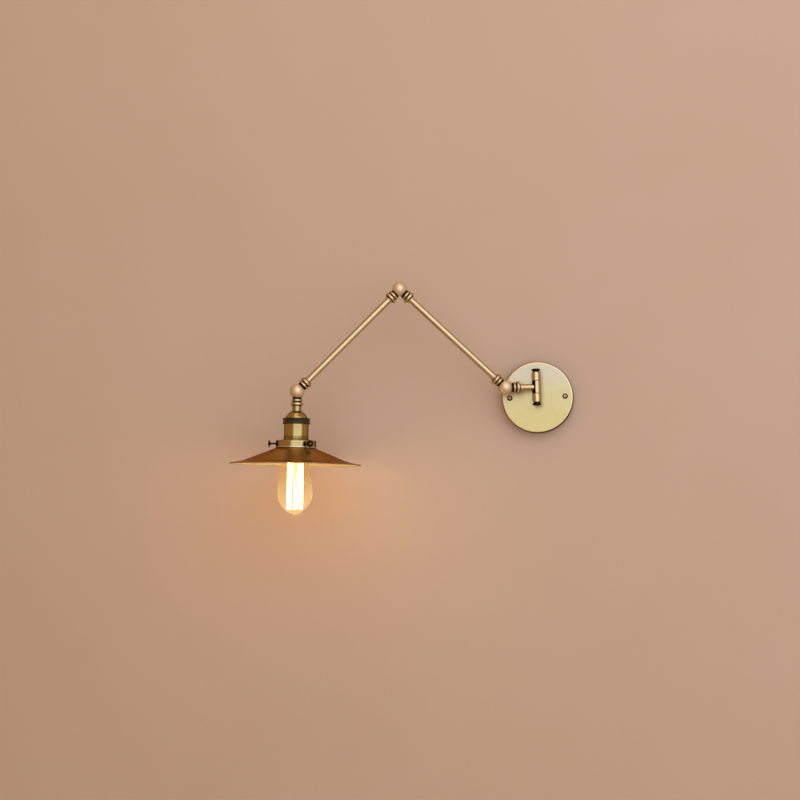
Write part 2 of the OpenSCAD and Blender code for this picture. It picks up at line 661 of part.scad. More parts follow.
// Insulator: a ceramic cup whose flange rests on the shell's ledge
module insulator() color(ceramic) head_frame() difference() {
    base_r = dome_foot_r - holder_wall - slack;
    rotate_extrude($fn = round_n) polygon([[0, dome_to + 2], [base_r, dome_to + 2], [base_r, flange_from],
        [flange_r, flange_from], [flange_r, flange_to], [tail_in_r - 0.15, flange_to],
        [tail_in_r - 0.15, tail_to - 3], [contact_r + fit, tail_to - 3], [contact_r + fit, floor_at],
        [0, floor_at]]);
    for (x = [-1, 1]) translate([x * contact_r * 0.6, 0, 0]) bore(wireway_d, floor_at + 1);
}

// Screw contact: a thin brass tube with a floor ring, inside the insulator
module screw_contact() color(aged_brass) head_frame()
    spun([[contact_r * 0.72, floor_at], [contact_r, floor_at], [contact_r, tail_to - 4]], 0.8);

// Centre contact: a sprung brass tongue on the insulator's floor
module centre_contact() color(aged_brass) head_frame() translate([0, 2.5, 0]) rotate([90, 0, 0])
    linear_extrude(5) polygon(sheet([[contact_r * 0.6, floor_at], [-3, floor_at], [-3.8, floor_at + 0.9],
        [-3, floor_at + 1.6], [0, cap_from - 0.85], [2, cap_from - 0.6], [3.4, cap_from - 0.9]], -0.4));

// Gallery: a shallow cup with a turned foot, bored for the thumbscrews
module gallery() color(aged_brass) head_frame() difference() {
    union() {
        spun([[tail_r + fit, skirt_to], [gallery_r - 0.9, skirt_to], [gallery_r, skirt_to + 0.9],
            [gallery_r, gallery_to]], gallery_wall);
        rotate_extrude($fn = round_n) difference() {
            turned(gallery_r + 0.4, gallery_to - 1.8, gallery_to, 0.4);
            translate([0, skirt_to]) square([gallery_r - 0.5, 2 * gallery_h]);
        }
    }
    for (a = thumb_angles) rotate(a) translate([0, 0, thumb_at]) rotate([0, 90, 0])
        cylinder(d = thumb_d + 2 * fit, h = gallery_d, $fn = small_n);
}

// Clamp ring: it is screwed up the shell's tail and holds the gallery against the skirt
module clamp_ring() color(aged_brass) head_frame() translate([0, 0, skirt_to + gallery_wall]) difference() {
    cylinder(d = skirt_d, h = clamp_t, $fn = round_n);
    translate([0, 0, -1]) cylinder(r = tail_r + fit, h = clamp_t + 2, $fn = round_n);
    for (a = [0, 90]) rotate(a) translate([-skirt_d, -1.5, clamp_t - 1.4]) cube([2 * skirt_d, 3, 2]);
}

// Shade: a spun cone with a soft bend to its brim, a beaded rim, and a beaded neck inside the gallery
module shade() color(aged_brass) head_frame() rotate_extrude($fn = round_n) {
    polygon(sheet(concat(
        [[shade_neck_r, neck_top], [shade_neck_r, cone_from - (gallery_r - shade_neck_r) * cone_slope],
        [cone_r - bend, cone_to - bend * cone_slope]],
        [for (i = [1:7]) let (t = i / 8, u = 1 - t) [cone_r - bend + 2 * bend * t,
            cone_to - bend * cone_slope * u ^ 2 + bend * brim_slope * t ^ 2]],
        [[cone_r + bend, cone_to + bend * brim_slope], [shade_d / 2 - 0.5, rim_at - 0.5 * brim_slope]]),
        shade_wall));
    translate([shade_d / 2 - 0.9, rim_at + 0.4]) circle(r = 0.9, $fn = 24);
    translate([shade_neck_r, neck_top + 0.9]) circle(r = 0.9, $fn = 24);
}

// Thumbscrews: three knurled screws that press on the shade's neck under its bead
module thumbscrew(i) color(bronze) head_frame() rotate(thumb_angles[i]) translate([0, 0, thumb_at])
    rotate([0, 90, 0]) {
        tip = shade_neck_r + 0.05;
        head_from = gallery_r + thumb_reach;
        knurls = 32;
        translate([0, 0, tip]) cylinder(d = thumb_d, h = head_from - tip + 0.5, $fn = small_n);
        translate([0, 0, head_from]) linear_extrude(thumb_head_t) polygon([for (k = [0:2 * knurls - 1])
            (thumb_head_d / 2 - 0.3 * (k % 2)) * [cos(k * 180 / knurls), sin(k * 180 / knurls)]]);
        translate([0, 0, head_from + thumb_head_t - 0.1]) rotate_extrude($fn = small_n) polygon([[0, 0],
            [thumb_head_d * 0.32, 0], [thumb_head_d * 0.24, 0.5], [thumb_head_d * 0.12, 0.8], [0, 0.9]]);
    }

module outer_thumbscrew() thumbscrew(0);
module front_thumbscrew() thumbscrew(1);
module back_thumbscrew() thumbscrew(2);

// Bulb cap: a thin screwed shell with a narrow shoulder
module bulb_cap() color(pale_brass) head_frame() spun([[5.6, cap_from + 0.9], [cap_r - 1.6, cap_from + 1.2],
    [cap_r, cap_from + 2.8], [cap_r, cap_to]], 0.4);

// Bulb insulator: a dark glass button in the cap's shoulder
module bulb_insulator() color(dark_plastic) head_frame() translate([0, 0, cap_from])
    rotate_extrude($fn = small_n) polygon([[3.6, 0.4], [5, 0.4], [5.5, 1.5], [5.5, 3], [3.6, 3]]);

// Bulb contact: the cap's end contact
module bulb_contact() color(aged_brass) head_frame() translate([0, 0, cap_from])
    rotate_extrude($fn = small_n) polygon([[0, 0], [2, 0], [3.5, 0.4], [3.5, 2.4], [0, 2.4]]);

// Outline of the glass: a narrow neck that widens to the middle, and a drawn in end with a small tip
function glass_r(s) = let (x = (s - cap_to) / (widest_at - cap_to))
    glass_neck_r + (bulb_d / 2 - glass_neck_r) * sin(90 * min(max(x, 0), 1)) ^ 1.2;
glass_line = concat(
    [[glass_neck_r, glass_from]],
    [for (i = [0:20]) let (s = cap_to + (widest_at - cap_to) * i / 20) [glass_r(s), s]],
    [for (i = [1:16]) let (a = 84 * i / 16)
        [bulb_d / 2 * cos(a) ^ 1.21, widest_at + (bulb_end - 1) * sin(a) ^ 1.21]],
    [[1.4, glass_end - 0.2], [0.9, glass_end], [0, glass_end]]);
module bulb_glass() color(clear_glass) head_frame() spun(glass_line, glass_wall);

// Height at a share of the stem's way from its seal to its rod
function stem_at(share) = stem_from + share * (rod_from - stem_from);

// Bulb stem: a pressed glass flare with a long rod and the button that holds the lower supports
module bulb_stem() color(clear_glass) head_frame() rotate_extrude($fn = small_n) polygon([
    [0, glass_from + 1], [glass_neck_r - glass_wall - 0.15, glass_from + 1], [8, stem_from],
    [4.6, stem_at(0.38)], [3.6, stem_at(0.72)], [3, stem_at(0.93)], [stem_rod_r, rod_from],
    [stem_rod_r, cage_to - 1.5], [button_r, cage_to - 0.8], [button_r, cage_to + 0.8], [0, cage_to + 1.8]]);

// Hook i of the filament: the wire runs down and up between an upper and a lower ring of hooks
function hook(i) = let (a = 360 * i / strands)
    [cage_d / 2 * cos(a), cage_d / 2 * sin(a), i % 2 == 0 ? cage_from : cage_to];

// The wire's half turn round hook i, as pairs of the outward direction and a point
function half_turn(i) = let (a = 360 * i / strands, open = i % 2 == 0 ? 1 : -1, out = [cos(a), sin(a), 0])
    [for (q = [-90:45:90])
        [out, hook(i) + filament_d * (sin(q) * [-sin(a), cos(a), 0] + open * (1 - cos(q)) * [0, 0, 1])]];

// Filament: one coiled wire, swept down and up round the cage
module filament() color(glow) head_frame() {
    way = [for (i = [0:strands - 1]) each half_turn(i)];
    last = len(way) - 1;
    sides = 6;
    rings = [for (k = [0:last], j = [0:sides - 1])
        let (d = way[min(k + 1, last)][1] - way[max(k - 1, 0)][1], out = way[k][0],
            across = cross(d / norm(d), out))
        way[k][1] + filament_d / 2 * (cos(360 * j / sides) * out + sin(360 * j / sides) * across)];
    walls = [for (k = [0:last - 1], j = [0:sides - 1])
        let (a = k * sides + j, b = k * sides + (j + 1) % sides)
        each [[a, b, b + sides], [a, b + sides, a + sides]]];
    ends = [[for (j = [sides - 1:-1:0]) j], [for (j = [0:sides - 1]) last * sides + j]];
    polyhedron(rings, concat(walls, ends), convexity = 10);
}

// Filament supports: hooks that reach out from the rod to every turn, and the two lead wires
module filament_supports() color(steel) head_frame() {
    for (i = [1:strands - 2]) {
        p = hook(i);
        inward = [p.x, p.y, 0] / norm([p.x, p.y]);
        hub = (i % 2 == 0 ? stem_rod_r : button_r) + 0.1;
        rod(inward * hub + [0, 0, p.z], inward * (cage_d / 2 - filament_d / 2 - 0.1) + [0, 0, p.z],
            hook_wire_d);
    }
    for (i = [0, strands - 1]) {
        p = hook(i);
        inward = [p.x, p.y, 0] / norm([p.x, p.y]);
        rod(inward * lead_foot_r + [0, 0, stem_at(0.76)],
            inward * (cage_d / 2 - filament_d / 2 - 0.2) + [0, 0, p.z + (i == 0 ? 0 : -1)],
            lead_wire_d);
    }
}

wall_plate();
mounting_bar();
plate_screws();
earth_screw();
terminal_block();
block_screw();
upper_eye();
lower_eye();
stud_nuts();
pivot_pin();
top_pin_cap();
bottom_pin_cap();
tee();
thrust_washers();
stem_tube();
stem_wires();
base_rear_half();
base_front_half();
base_hinge_screw();
base_spring_washer();
base_friction_disc();
lower_arm_tube();
lower_arm_wires();
elbow_rear_half();
elbow_front_half();
elbow_hinge_screw();
elbow_spring_washer();
elbow_friction_disc();
upper_arm_tube();
upper_arm_wires();
head_rear_half();
head_front_half();
head_hinge_screw();
head_spring_washer();
head_friction_disc();
nipple();
nipple_nut();
domed_cap();
lock_ring();
holder_shell();
holder_skirt();
insulator();
screw_contact();
centre_contact();
gallery();
clamp_ring();
shade();
outer_thumbscrew();
front_thumbscrew();
back_thumbscrew();
bulb_cap();
bulb_insulator();
bulb_contact();
bulb_glass();
bulb_stem();
filament_supports();
filament();
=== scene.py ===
import json
import math

import bmesh
import bpy
from mathutils import Matrix, Vector


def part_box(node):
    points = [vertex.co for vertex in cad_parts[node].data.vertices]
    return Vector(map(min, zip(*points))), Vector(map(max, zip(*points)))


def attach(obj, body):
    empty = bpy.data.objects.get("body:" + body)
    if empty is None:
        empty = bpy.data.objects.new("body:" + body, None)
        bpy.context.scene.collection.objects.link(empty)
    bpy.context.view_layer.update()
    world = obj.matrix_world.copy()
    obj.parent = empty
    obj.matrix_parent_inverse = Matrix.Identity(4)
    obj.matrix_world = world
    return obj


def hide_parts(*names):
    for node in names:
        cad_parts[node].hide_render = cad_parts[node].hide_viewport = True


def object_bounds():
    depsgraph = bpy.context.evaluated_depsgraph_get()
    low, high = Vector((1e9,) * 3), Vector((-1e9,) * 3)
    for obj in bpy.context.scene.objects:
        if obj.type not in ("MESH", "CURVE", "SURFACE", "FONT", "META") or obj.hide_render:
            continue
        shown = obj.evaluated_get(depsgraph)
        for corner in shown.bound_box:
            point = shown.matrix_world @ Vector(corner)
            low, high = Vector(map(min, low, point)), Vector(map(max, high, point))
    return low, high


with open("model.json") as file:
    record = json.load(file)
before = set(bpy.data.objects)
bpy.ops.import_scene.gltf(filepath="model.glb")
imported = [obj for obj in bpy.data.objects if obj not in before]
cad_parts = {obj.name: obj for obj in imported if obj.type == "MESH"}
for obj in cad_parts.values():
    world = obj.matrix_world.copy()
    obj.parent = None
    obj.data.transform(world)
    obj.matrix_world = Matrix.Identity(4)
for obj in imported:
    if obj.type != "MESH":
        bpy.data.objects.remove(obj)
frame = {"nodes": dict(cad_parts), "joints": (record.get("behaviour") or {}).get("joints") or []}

cad_box = [list(corner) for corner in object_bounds()]
mm = 0.001

# Mounting bar. The real one is a zinc-plated steel strip, pressed so that its ends stand off the wall. It is
# screwed to the wall through its slots, and it carries the earth screw and the porcelain terminal block.


def tone(code):
    """A colour code as the red, green, blue and alpha that a shader takes."""
    parts = [int(code[i:i + 2], 16) / 255 for i in (1, 3, 5)]
    return [p / 12.92 if p <= 0.04045 else ((p + 0.055) / 1.055) ** 2.4 for p in parts] + [1.0]


def wire(tree, node, feeds):
    """Gives a node's inputs their values, or links them to nodes and sockets."""
    for label, source in feeds.items():
        for one in source if isinstance(source, list) and isinstance(source[0], bpy.types.Node) else [source]:
            if isinstance(one, bpy.types.Node):
                one = one.outputs[0]
            if isinstance(one, bpy.types.NodeSocket):
                tree.links.new(one, node.inputs[label])
            else:
                node.inputs[label].default_value = one


def add(tree, kind, feeds=None, **settings):
    """A new node with its own settings, and with feeds to its inputs."""
    node = tree.nodes.new(kind)
    for label, value in settings.items():
        setattr(node, label, value)
    wire(tree, node, feeds or {})
    return node


def calc(tree, operation, *numbers):
    """A number worked out from up to three numbers or sockets."""
    return add(tree, "ShaderNodeMath", dict(enumerate(numbers)), operation=operation)


def ramp(tree, value, start, end, low=0.0, high=1.0):
    """A smooth rise from low to high, as a value goes from start to end."""
    return add(tree, "ShaderNodeMapRange", {0: value, 1: start, 2: end, 3: low, 4: high},
               interpolation_type="SMOOTHSTEP")


def mixed(tree, share, a, b):
    """A colour between a and b."""
    return add(tree, "ShaderNodeMix", {0: share, 6: a, 7: b}, data_type="RGBA").outputs[2]


def noise(tree, spot, scale, detail=2.0, roughness=0.5):
    """Cloudy noise from 0 to 1 at a spot."""
    return add(tree, "ShaderNodeTexNoise", {
        "Vector": spot, "Scale": scale, "Detail": detail, "Roughness": roughness})


def millimetres(tree, place=Matrix()):
    """The spot on the object in millimetres, seen from a place: its middle and its own axes."""
    return add(tree, "ShaderNodeMapping", {
        0: add(tree, "ShaderNodeTexCoord").outputs["Object"], "Location": place.translation,
        "Rotation": place.to_euler(), "Scale": (mm, mm, mm)}, vector_type="TEXTURE")


def new_finish(name, **values):
    """A new material with plain values on its shader: the material, its nodes and its shader."""
    material = bpy.data.materials.new(name)
    material.use_nodes = True
    shader = material.node_tree.nodes["Principled BSDF"]
    for label, value in values.items():
        shader.inputs[label.replace("_", " ")].default_value = value
    return material, material.node_tree, shader


def roughen(tree, shader, height, depth, strength=1.0):
    """Raises the surface by a height from 0 to 1, up to a depth in millimetres."""
    bump = add(tree, "ShaderNodeBump", {"Strength": strength, "Distance": depth * mm, "Height": height})
    wire(tree, shader, {"Normal": bump})


def plated_steel(name, light, dark):
    """Zinc-plated steel, with the plating's cloudy crystals."""
    material, tree, shader = new_finish(name, Metallic=1.0)
    spot = millimetres(tree)
    cloud = noise(tree, spot, 0.4, 4.0)
    wire(tree, shader, {
        "Base Color": mixed(tree, ramp(tree, cloud, 0.35, 0.65), tone(dark), tone(light)),
        "Roughness": ramp(tree, cloud, 0.3, 0.7, 0.42, 0.28)})
    roughen(tree, shader, noise(tree, spot, 3.0), 0.02)
    return material


def dress(material, *nodes):
    """Gives a finish to pieces whose shape is already right."""
    for node in nodes:
        mesh = frame["nodes"][node].data
        mesh.materials.clear()
        mesh.materials.append(material)


def place_on(origin, along, side):
    """The place of a turned piece: its Z runs along its axis from origin, and its X lies to that side."""
    z = along.normalized()
    x = (side - side.dot(z) * z).normalized()
    return Matrix.Translation(origin) @ Matrix((x, z.cross(x), z)).transposed().to_4x4()


def brass(name, place, bright, dark, gloss=0.24, patina=0.14, marks=5.0, tarnish_and_painted_shade=None, wear_and_painted_light=None, edge="#3c1c0a"):
    """Antique brass on a turned piece: turning marks round its axis, a cloudy patina and a few flecks.

    bright is the clean metal's colour, or a function that mixes it; on the wall plate that function is a painted
    reflection.
    A darkening function, where given, works out how dark a spot is: patina in the collars' hollows, painted shade at
    other places. A paling function, where given, says how pale a spot is, and the colour, gloss and share of dull
    lacquer
    that it then has: worn pale on the balls, painted highlights on edges and faces, and a paler inner surface of the
    shade that partly stands for the bulb's light.
    These functions take the tree and the spot's X, Y, Z and distance from the axis. edge tints the metal where it is
    seen edge on.
    """
    material, tree, shader = new_finish(name, Metallic=1.0, Specular_Tint=tone(edge))
    spot = millimetres(tree, place)
    x, y, z = add(tree, "ShaderNodeSeparateXYZ", {0: spot}).outputs
    radius = calc(tree, "SQRT", calc(tree, "MULTIPLY_ADD", x, x, calc(tree, "MULTIPLY", y, y)))
    turned = add(tree, "ShaderNodeCombineXYZ", {0: radius, 1: z})
    mark = noise(tree, turned, marks, 3.0, 0.6)
    cloud = ramp(tree, noise(tree, spot, 0.07, 5.0, 0.55), 0.3, 0.8)
    fleck = ramp(tree, noise(tree, spot, 1.3), 0.7, 0.8)
    tarnish_and_shade = calc(tree, "MULTIPLY_ADD", cloud, patina, calc(tree, "MULTIPLY", fleck, 0.2))
    if tarnish_and_painted_shade:
        tarnish_and_shade = calc(tree, "MAXIMUM", tarnish_and_shade, tarnish_and_painted_shade(tree, x, y, z, radius))
    wear_and_shade = calc(tree, "MINIMUM", calc(tree, "MULTIPLY_ADD", mark, 0.1, tarnish_and_shade), 1.0)
    clean = bright(tree, x, y, z, radius) if callable(bright) else tone(bright)
    if wear_and_painted_light:
        where, wear_and_light_colour, wear_and_light_gloss, lacquered = wear_and_painted_light
        share = where(tree, x, y, z, radius)
        clean = mixed(tree, share, clean, tone(wear_and_light_colour))
        gloss = ramp(tree, share, 0.0, 1.0, gloss, wear_and_light_gloss)
        if lacquered:
            wire(tree, shader, {"Metallic": ramp(tree, share, 0.0, 1.0, 1.0, 1.0 - lacquered)})
    wire(tree, shader, {
        "Base Color": mixed(tree, wear_and_shade, clean, tone(dark)),
        "Roughness": calc(tree, "MULTIPLY_ADD", wear_and_shade, 0.25, gloss)})
    roughen(tree, shader, mark, 0.006)
    return material


def porcelain(name, body, shade):
    """Glazed white porcelain with a few faint specks."""
    material, tree, shader = new_finish(name, Coat_Weight=0.6, Coat_Roughness=0.08)
    spot = millimetres(tree)
    speck = ramp(tree, noise(tree, spot, 1.3), 0.7, 0.78)
    wire(tree, shader, {
        "Base Color": mixed(tree, speck, tone(body), tone(shade)),
        "Roughness": ramp(tree, noise(tree, spot, 0.3), 0.3, 0.7, 0.3, 0.45)})
    roughen(tree, shader, noise(tree, spot, 0.8), 0.03)
    return material


zinc = plated_steel("zinc_plated_steel", "#c9cac8", "#9b9c9a")
white_porcelain = porcelain("white_porcelain", "#ece7dc", "#b9ac98")
antique = ("#decda1", "#33200e")
earth_screw_middle = sum(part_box("earth_screw"), Vector()) / 2
earth_screw_axis = place_on(earth_screw_middle, Vector((0, -1, 0)), Vector((0, 0, 1)))
earth_screw_brass = brass("earth_screw_brass", earth_screw_axis, *antique)
dress(zinc, "mounting_bar", "block_screw")
dress(white_porcelain, "terminal_block")
dress(earth_screw_brass, "earth_screw")

# Wall plate. A round cup spun from brass sheet, with a softly rounded edge. It covers the mounting bar, and it is
# brushed round its middle and lacquered a little paler than the rest of the lamp.


def band(tree, value, start, end, soft):
    """1 between two values and 0 outside them, with soft edges."""
    return calc(tree, "MULTIPLY", ramp(tree, value, start - soft, start + soft),
                ramp(tree, value, end + soft, end - soft))


plate_r = cad_box[1][0] / mm


def painted_reflection_gradient(tree, x, y, z, radius):
    """Painted reflection: greyer towards the top and yellower towards the foot, as a cool light above and a warm room
    below would show in the flat face.
    """
    low_half = mixed(tree, ramp(tree, x, -0.7 * plate_r, 0), tone("#cbbe84"), tone("#cbbf8e"))
    return mixed(tree, ramp(tree, x, 0, 0.7 * plate_r), low_half, tone("#c8c0a6"))


def edge_painted_highlight(tree, x, y, z, radius):
    """A painted highlight on the ring where the plate's edge is rounded over: pale brass that stands for the light
    this edge catches.
    """
    return band(tree, radius, plate_r - 2.8, plate_r - 1.1, 0.4)


def edge_painted_shade(tree, x, y, z, radius):
    """Painted shade round the plate's outermost edge, where it meets the wall."""
    return ramp(tree, radius, plate_r - 1.2, plate_r - 0.4)


wall_axis = place_on(Vector((0, 0, 0)), Vector((0, -1, 0)), Vector((0, 0, 1)))
# The plate carries a painted reflection that greys towards its top and yellows towards its foot, a painted highlight
# on its rounded edge and painted shade round its outermost edge.
dress(brass("brushed_plate_brass", wall_axis, painted_reflection_gradient, "#6b4a1c", gloss=0.3, patina=0.06, marks=2.5,
            tarnish_and_painted_shade=edge_painted_shade, wear_and_painted_light=(edge_painted_highlight, "#f6ecb8", 0.34, 0.0)), "wall_plate")

# Plate screws. Two bronzed machine screws with domed heads and a crossed recess, turned and stamped. They pass
# through the plate into the bar's raised tabs.


def outline(*corners):
    """A closed outline of corners, each with its radius and height in millimetres.

    A third number rounds a corner off: it is how far from the corner the curve starts.
    """
    points = []
    for i, corner in enumerate(corners):
        here = Vector(corner[:2])
        if len(corner) == 2:
            points.append(here)
            continue
        ways = [(Vector(corners[j][:2]) - here).normalized() for j in (i - 1, (i + 1) % len(corners))]
        start, end = (here + way * corner[2] for way in ways)
        points += [start.lerp(here, t).lerp(here.lerp(end, t), t) for t in (0, 0.2, 0.4, 0.6, 0.8, 1)]
    return points + points[:1]


def arc(centre, radius, start, end, steps):
    """Points of an arc, between two angles in degrees."""
    angles = [math.radians(start + (end - start) * i / steps) for i in range(steps + 1)]
    return [(centre[0] + radius * math.cos(a), centre[1] + radius * math.sin(a)) for a in angles]


def new_tree(name, **inputs):
    """A node tree that makes a piece: the tree, its inputs by name, and its end."""
    tree = bpy.data.node_groups.new(name, "GeometryNodeTree")
    for label, kind in {**inputs, "Finish": "Material"}.items():
        tree.interface.new_socket(label.replace("_", " "), in_out="INPUT", socket_type="NodeSocket" + kind)
    tree.interface.new_socket("Piece", in_out="OUTPUT", socket_type="NodeSocketGeometry")
    return tree, tree.nodes.new("NodeGroupInput").outputs, tree.nodes.new("NodeGroupOutput")


def end_tree(tree, given, end, shape):
    """Makes the shape real, gives it its finish and hands it out."""
    real = add(tree, "GeometryNodeRealizeInstances", {0: shape})
    wire(tree, end, {0: add(tree, "GeometryNodeSetMaterial", {0: real, "Material": given["Finish"]})})


hair, sharp_angle = 0.001 * mm, math.radians(40)


def lathe(tree, line, steps, cut=None):
    """Turns a line round the Z axis: the line's points are the rows of a grid, and each column is one turn on.

    cut works out, from a point's height, radius and turn, how far it is cut back towards the axis.
    """
    count = add(tree, "GeometryNodeAttributeDomainSize", {0: line}).outputs["Point Count"]
    grid = add(tree, "GeometryNodeMeshGrid", {"Vertices X": calc(tree, "ADD", steps, 1), "Vertices Y": count})
    index = add(tree, "GeometryNodeInputIndex")
    point = add(tree, "GeometryNodeSampleIndex", {
        "Geometry": line, "Value": add(tree, "GeometryNodeInputPosition"),
        "Index": calc(tree, "MODULO", index, count)}, data_type="FLOAT_VECTOR")
    column = calc(tree, "FLOOR", calc(tree, "DIVIDE", index, count))
    turn = calc(tree, "MULTIPLY", calc(tree, "DIVIDE", column, steps), math.tau)
    if cut:
        radius, _, height = add(tree, "ShaderNodeSeparateXYZ", {0: point}).outputs
        left = calc(tree, "SUBTRACT", radius, cut(height, radius, turn))
        point = add(tree, "ShaderNodeCombineXYZ", {0: left, 2: height})
    turned = add(tree, "ShaderNodeVectorRotate", {"Vector": point, "Angle": turn}, rotation_type="Z_AXIS")
    shape = add(tree, "GeometryNodeSetPosition", {0: grid, "Position": turned})
    closed = add(tree, "GeometryNodeMergeByDistance", {0: shape, "Distance": hair})
    return add(tree, "GeometryNodeSetShadeSmooth", {0: closed})


def make(name, tree, points, place, finish, **sizes):
    """Runs a node tree on an outline, which may be empty, and sets the plain mesh in its place."""
    line = bpy.data.meshes.new(name)
    line.from_pydata([(p[0] * mm, 0, p[1] * mm) for p in points], [(i, i + 1) for i in range(len(points) - 1)], [])
    maker = bpy.data.objects.new(name, line)
    bpy.context.scene.collection.objects.link(maker)
    modifier = maker.modifiers.new(tree.name, "NODES")
    modifier.node_group = tree
    socket = {s.name: s.identifier for s in tree.interface.items_tree if s.in_out == "INPUT"}
    for label, value in {**sizes, "Finish": finish}.items():
        modifier[socket[label.replace("_", " ")]] = value
    mesh = bpy.data.meshes.new_from_object(maker.evaluated_get(bpy.context.evaluated_depsgraph_get()))
    bpy.data.objects.remove(maker)
    shape = bmesh.new()
    shape.from_mesh(mesh)
    bmesh.ops.remove_doubles(shape, verts=shape.verts, dist=hair / 2)
    bmesh.ops.recalc_face_normals(shape, faces=shape.faces)
    for face in shape.faces:
        face.material_index = 0
    shape.to_mesh(mesh)
    mesh.materials.clear()
    mesh.materials.append(finish)
    mesh.transform(place)
    mesh.set_sharp_from_angle(angle=sharp_angle)
    piece = bpy.data.objects.new(name, mesh)
    bpy.context.scene.collection.objects.link(piece)
    return piece


def settle(piece, body, slot, *nodes):
    """Puts a piece on the body that carries it, in place of the plainer solids."""
    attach(piece, body)
    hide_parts(*nodes)


screw_tree, screw_given, screw_end = new_tree(
    "Crossed screws", Outline="Geometry", Steps_round="Int", Face_height="Float", Recess_length="Float",
    Recess_width="Float", Recess_depth="Float", First="Vector", Step="Vector", Number="Int")
blank = lathe(screw_tree, screw_given["Outline"], screw_given["Steps round"])
recess = (screw_given["Recess length"], screw_given["Recess width"])
twice_deep = calc(screw_tree, "MULTIPLY", screw_given["Recess depth"], 2.0)
up_to_face = add(screw_tree, "ShaderNodeCombineXYZ", {2: screw_given["Face height"]})
slots = []
for across_x, across_y in (recess, recess[::-1]):
    slot_size = add(screw_tree, "ShaderNodeCombineXYZ", {0: across_x, 1: across_y, 2: twice_deep})
    block = add(screw_tree, "GeometryNodeMeshCube", {"Size": slot_size})
    slots.append(add(screw_tree, "GeometryNodeTransform", {0: block, "Translation": up_to_face}))
cross = add(screw_tree, "GeometryNodeMeshBoolean", {"Mesh 2": slots}, operation="UNION")
crossed = add(screw_tree, "GeometryNodeMeshBoolean", {"Mesh 1": blank, "Mesh 2": cross}, operation="DIFFERENCE")
screw_spots = add(screw_tree, "GeometryNodeMeshLine", {
    "Count": screw_given["Number"], "Start Location": screw_given["First"], "Offset": screw_given["Step"]},
    mode="OFFSET")
end_tree(screw_tree, screw_given, screw_end,
         add(screw_tree, "GeometryNodeInstanceOnPoints", {0: screw_spots, "Instance": crossed}))


def middle_painted_highlight(tree, x, y, z, radius):
    """A painted highlight in the middle of each of the two domed heads."""
    across = calc(tree, "SUBTRACT", calc(tree, "ABSOLUTE", y), apart / 2)
    from_middle = calc(tree, "SQRT", calc(tree, "MULTIPLY_ADD", x, x, calc(tree, "MULTIPLY", across, across)))
    return ramp(tree, from_middle, 3.0, 1.9)


bronze = ("#3a2a18", "#140d07")
screws_low, screws_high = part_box("plate_screws")
head_r, head_h, shank_r = 4.8, 2.8, 2.0
apart = (screws_high.x - screws_low.x) / mm - 2 * head_r
seat, top = -screws_high.y / mm, -screws_low.y / mm
dome_r = (head_r ** 2 + head_h ** 2) / (2 * head_h)
dome_angle = math.degrees(math.asin(head_r / dome_r))
# The pale middle of each screw head is a painted highlight.
screw_bronze = brass("bronzed_screws", wall_axis, *bronze, gloss=0.28, patina=0.3,
                     wear_and_painted_light=(middle_painted_highlight, "#f4e8d4", 0.35, 0.0))
plate_screws = make(
    "plate_screws_turned", screw_tree,
    outline((0, seat), (shank_r - 0.4, seat), (shank_r, seat + 0.4), (shank_r, top - head_h),
            (head_r - 0.2, top - head_h), *arc((0, top - dome_r), dome_r, 90 - dome_angle, 90, 10)),
    wall_axis, screw_bronze, Steps_round=48, Face_height=top * mm, Recess_length=5.4 * mm, Recess_width=1.1 * mm,
    Recess_depth=1.3 * mm, First=(0, -apart / 2 * mm, 0), Step=(0, apart * mm, 0), Number=2)
settle(plate_screws, "wall_bracket", "bronze", "plate_screws")

# Swivel post. A hinge barrel turned from brass bar: two outer sections on legs that are nutted behind the plate, and
# between them the section that turns on a steel pin. Bronzed caps are pressed on the pin's ends.
joint = {j["name"]: j for j in frame["joints"]}
post_axis = place_on(Vector(joint["arm_swing"]["pos_m"]), Vector((0, 0, 1)), Vector((1, 0, 0)))
dress(brass("barrel_brass", post_axis, *antique), "upper_eye", "lower_eye")


def stem_side_painted_shade(tree, x, y, z, radius):
    """Painted shade on the side towards the stem."""
    return ramp(tree, x, 2.2, 3.4)


base, elbow, head = (Vector(joint[name]["pos_m"]) for name in ("base_knuckle", "elbow_knuckle", "head_knuckle"))
tee_axis = place_on(post_axis.translation, Vector((0, 0, 1)), base - post_axis.translation)
# The tee carries painted shade on its side towards the stem.
dress(brass("tee_brass", tee_axis, *antique, tarnish_and_painted_shade=stem_side_painted_shade), "tee")
dress(brass("bronzed_caps", post_axis, *bronze, gloss=0.25, patina=0.5), "top_pin_cap", "bottom_pin_cap")
dress(zinc, "stud_nuts", "pivot_pin")


def plain_stuff(name, body, shade, rough, grain=0.8):
    """A plain dull material, such as fibre or insulation, with a fine grain."""
    material, tree, shader = new_finish(name)
    spot = millimetres(tree)
    cloud = noise(tree, spot, grain, 4.0)
    wire(tree, shader, {
        "Base Color": mixed(tree, ramp(tree, cloud, 0.3, 0.7), tone(body), tone(shade)),
        "Roughness": ramp(tree, cloud, 0.3, 0.7, rough - 0.08, rough + 0.08)})
    roughen(tree, shader, cloud, 0.03)
    return material


red_fibre = plain_stuff("red_fibre", "#6b5440", "#4d3524", 0.6)
dress(red_fibre, "thrust_washers")

# Stem. A short length of drawn brass tube, screwed into the barrel at one end and into the first knuckle at the
# other. Two insulated wires run through it.
front = Vector((base - post_axis.translation).cross(Vector((0, 0, 1))))
stem_axis = place_on(base, Vector((post_axis.translation.x, post_axis.translation.y, base.z)) - base, front)
insulation = plain_stuff("wire_insulation", "#d8d2c4", "#c4bca8", 0.5, 0.3)
dress(brass("stem_brass", stem_axis, *antique), "stem_tube")
dress(insulation, "stem_wires")

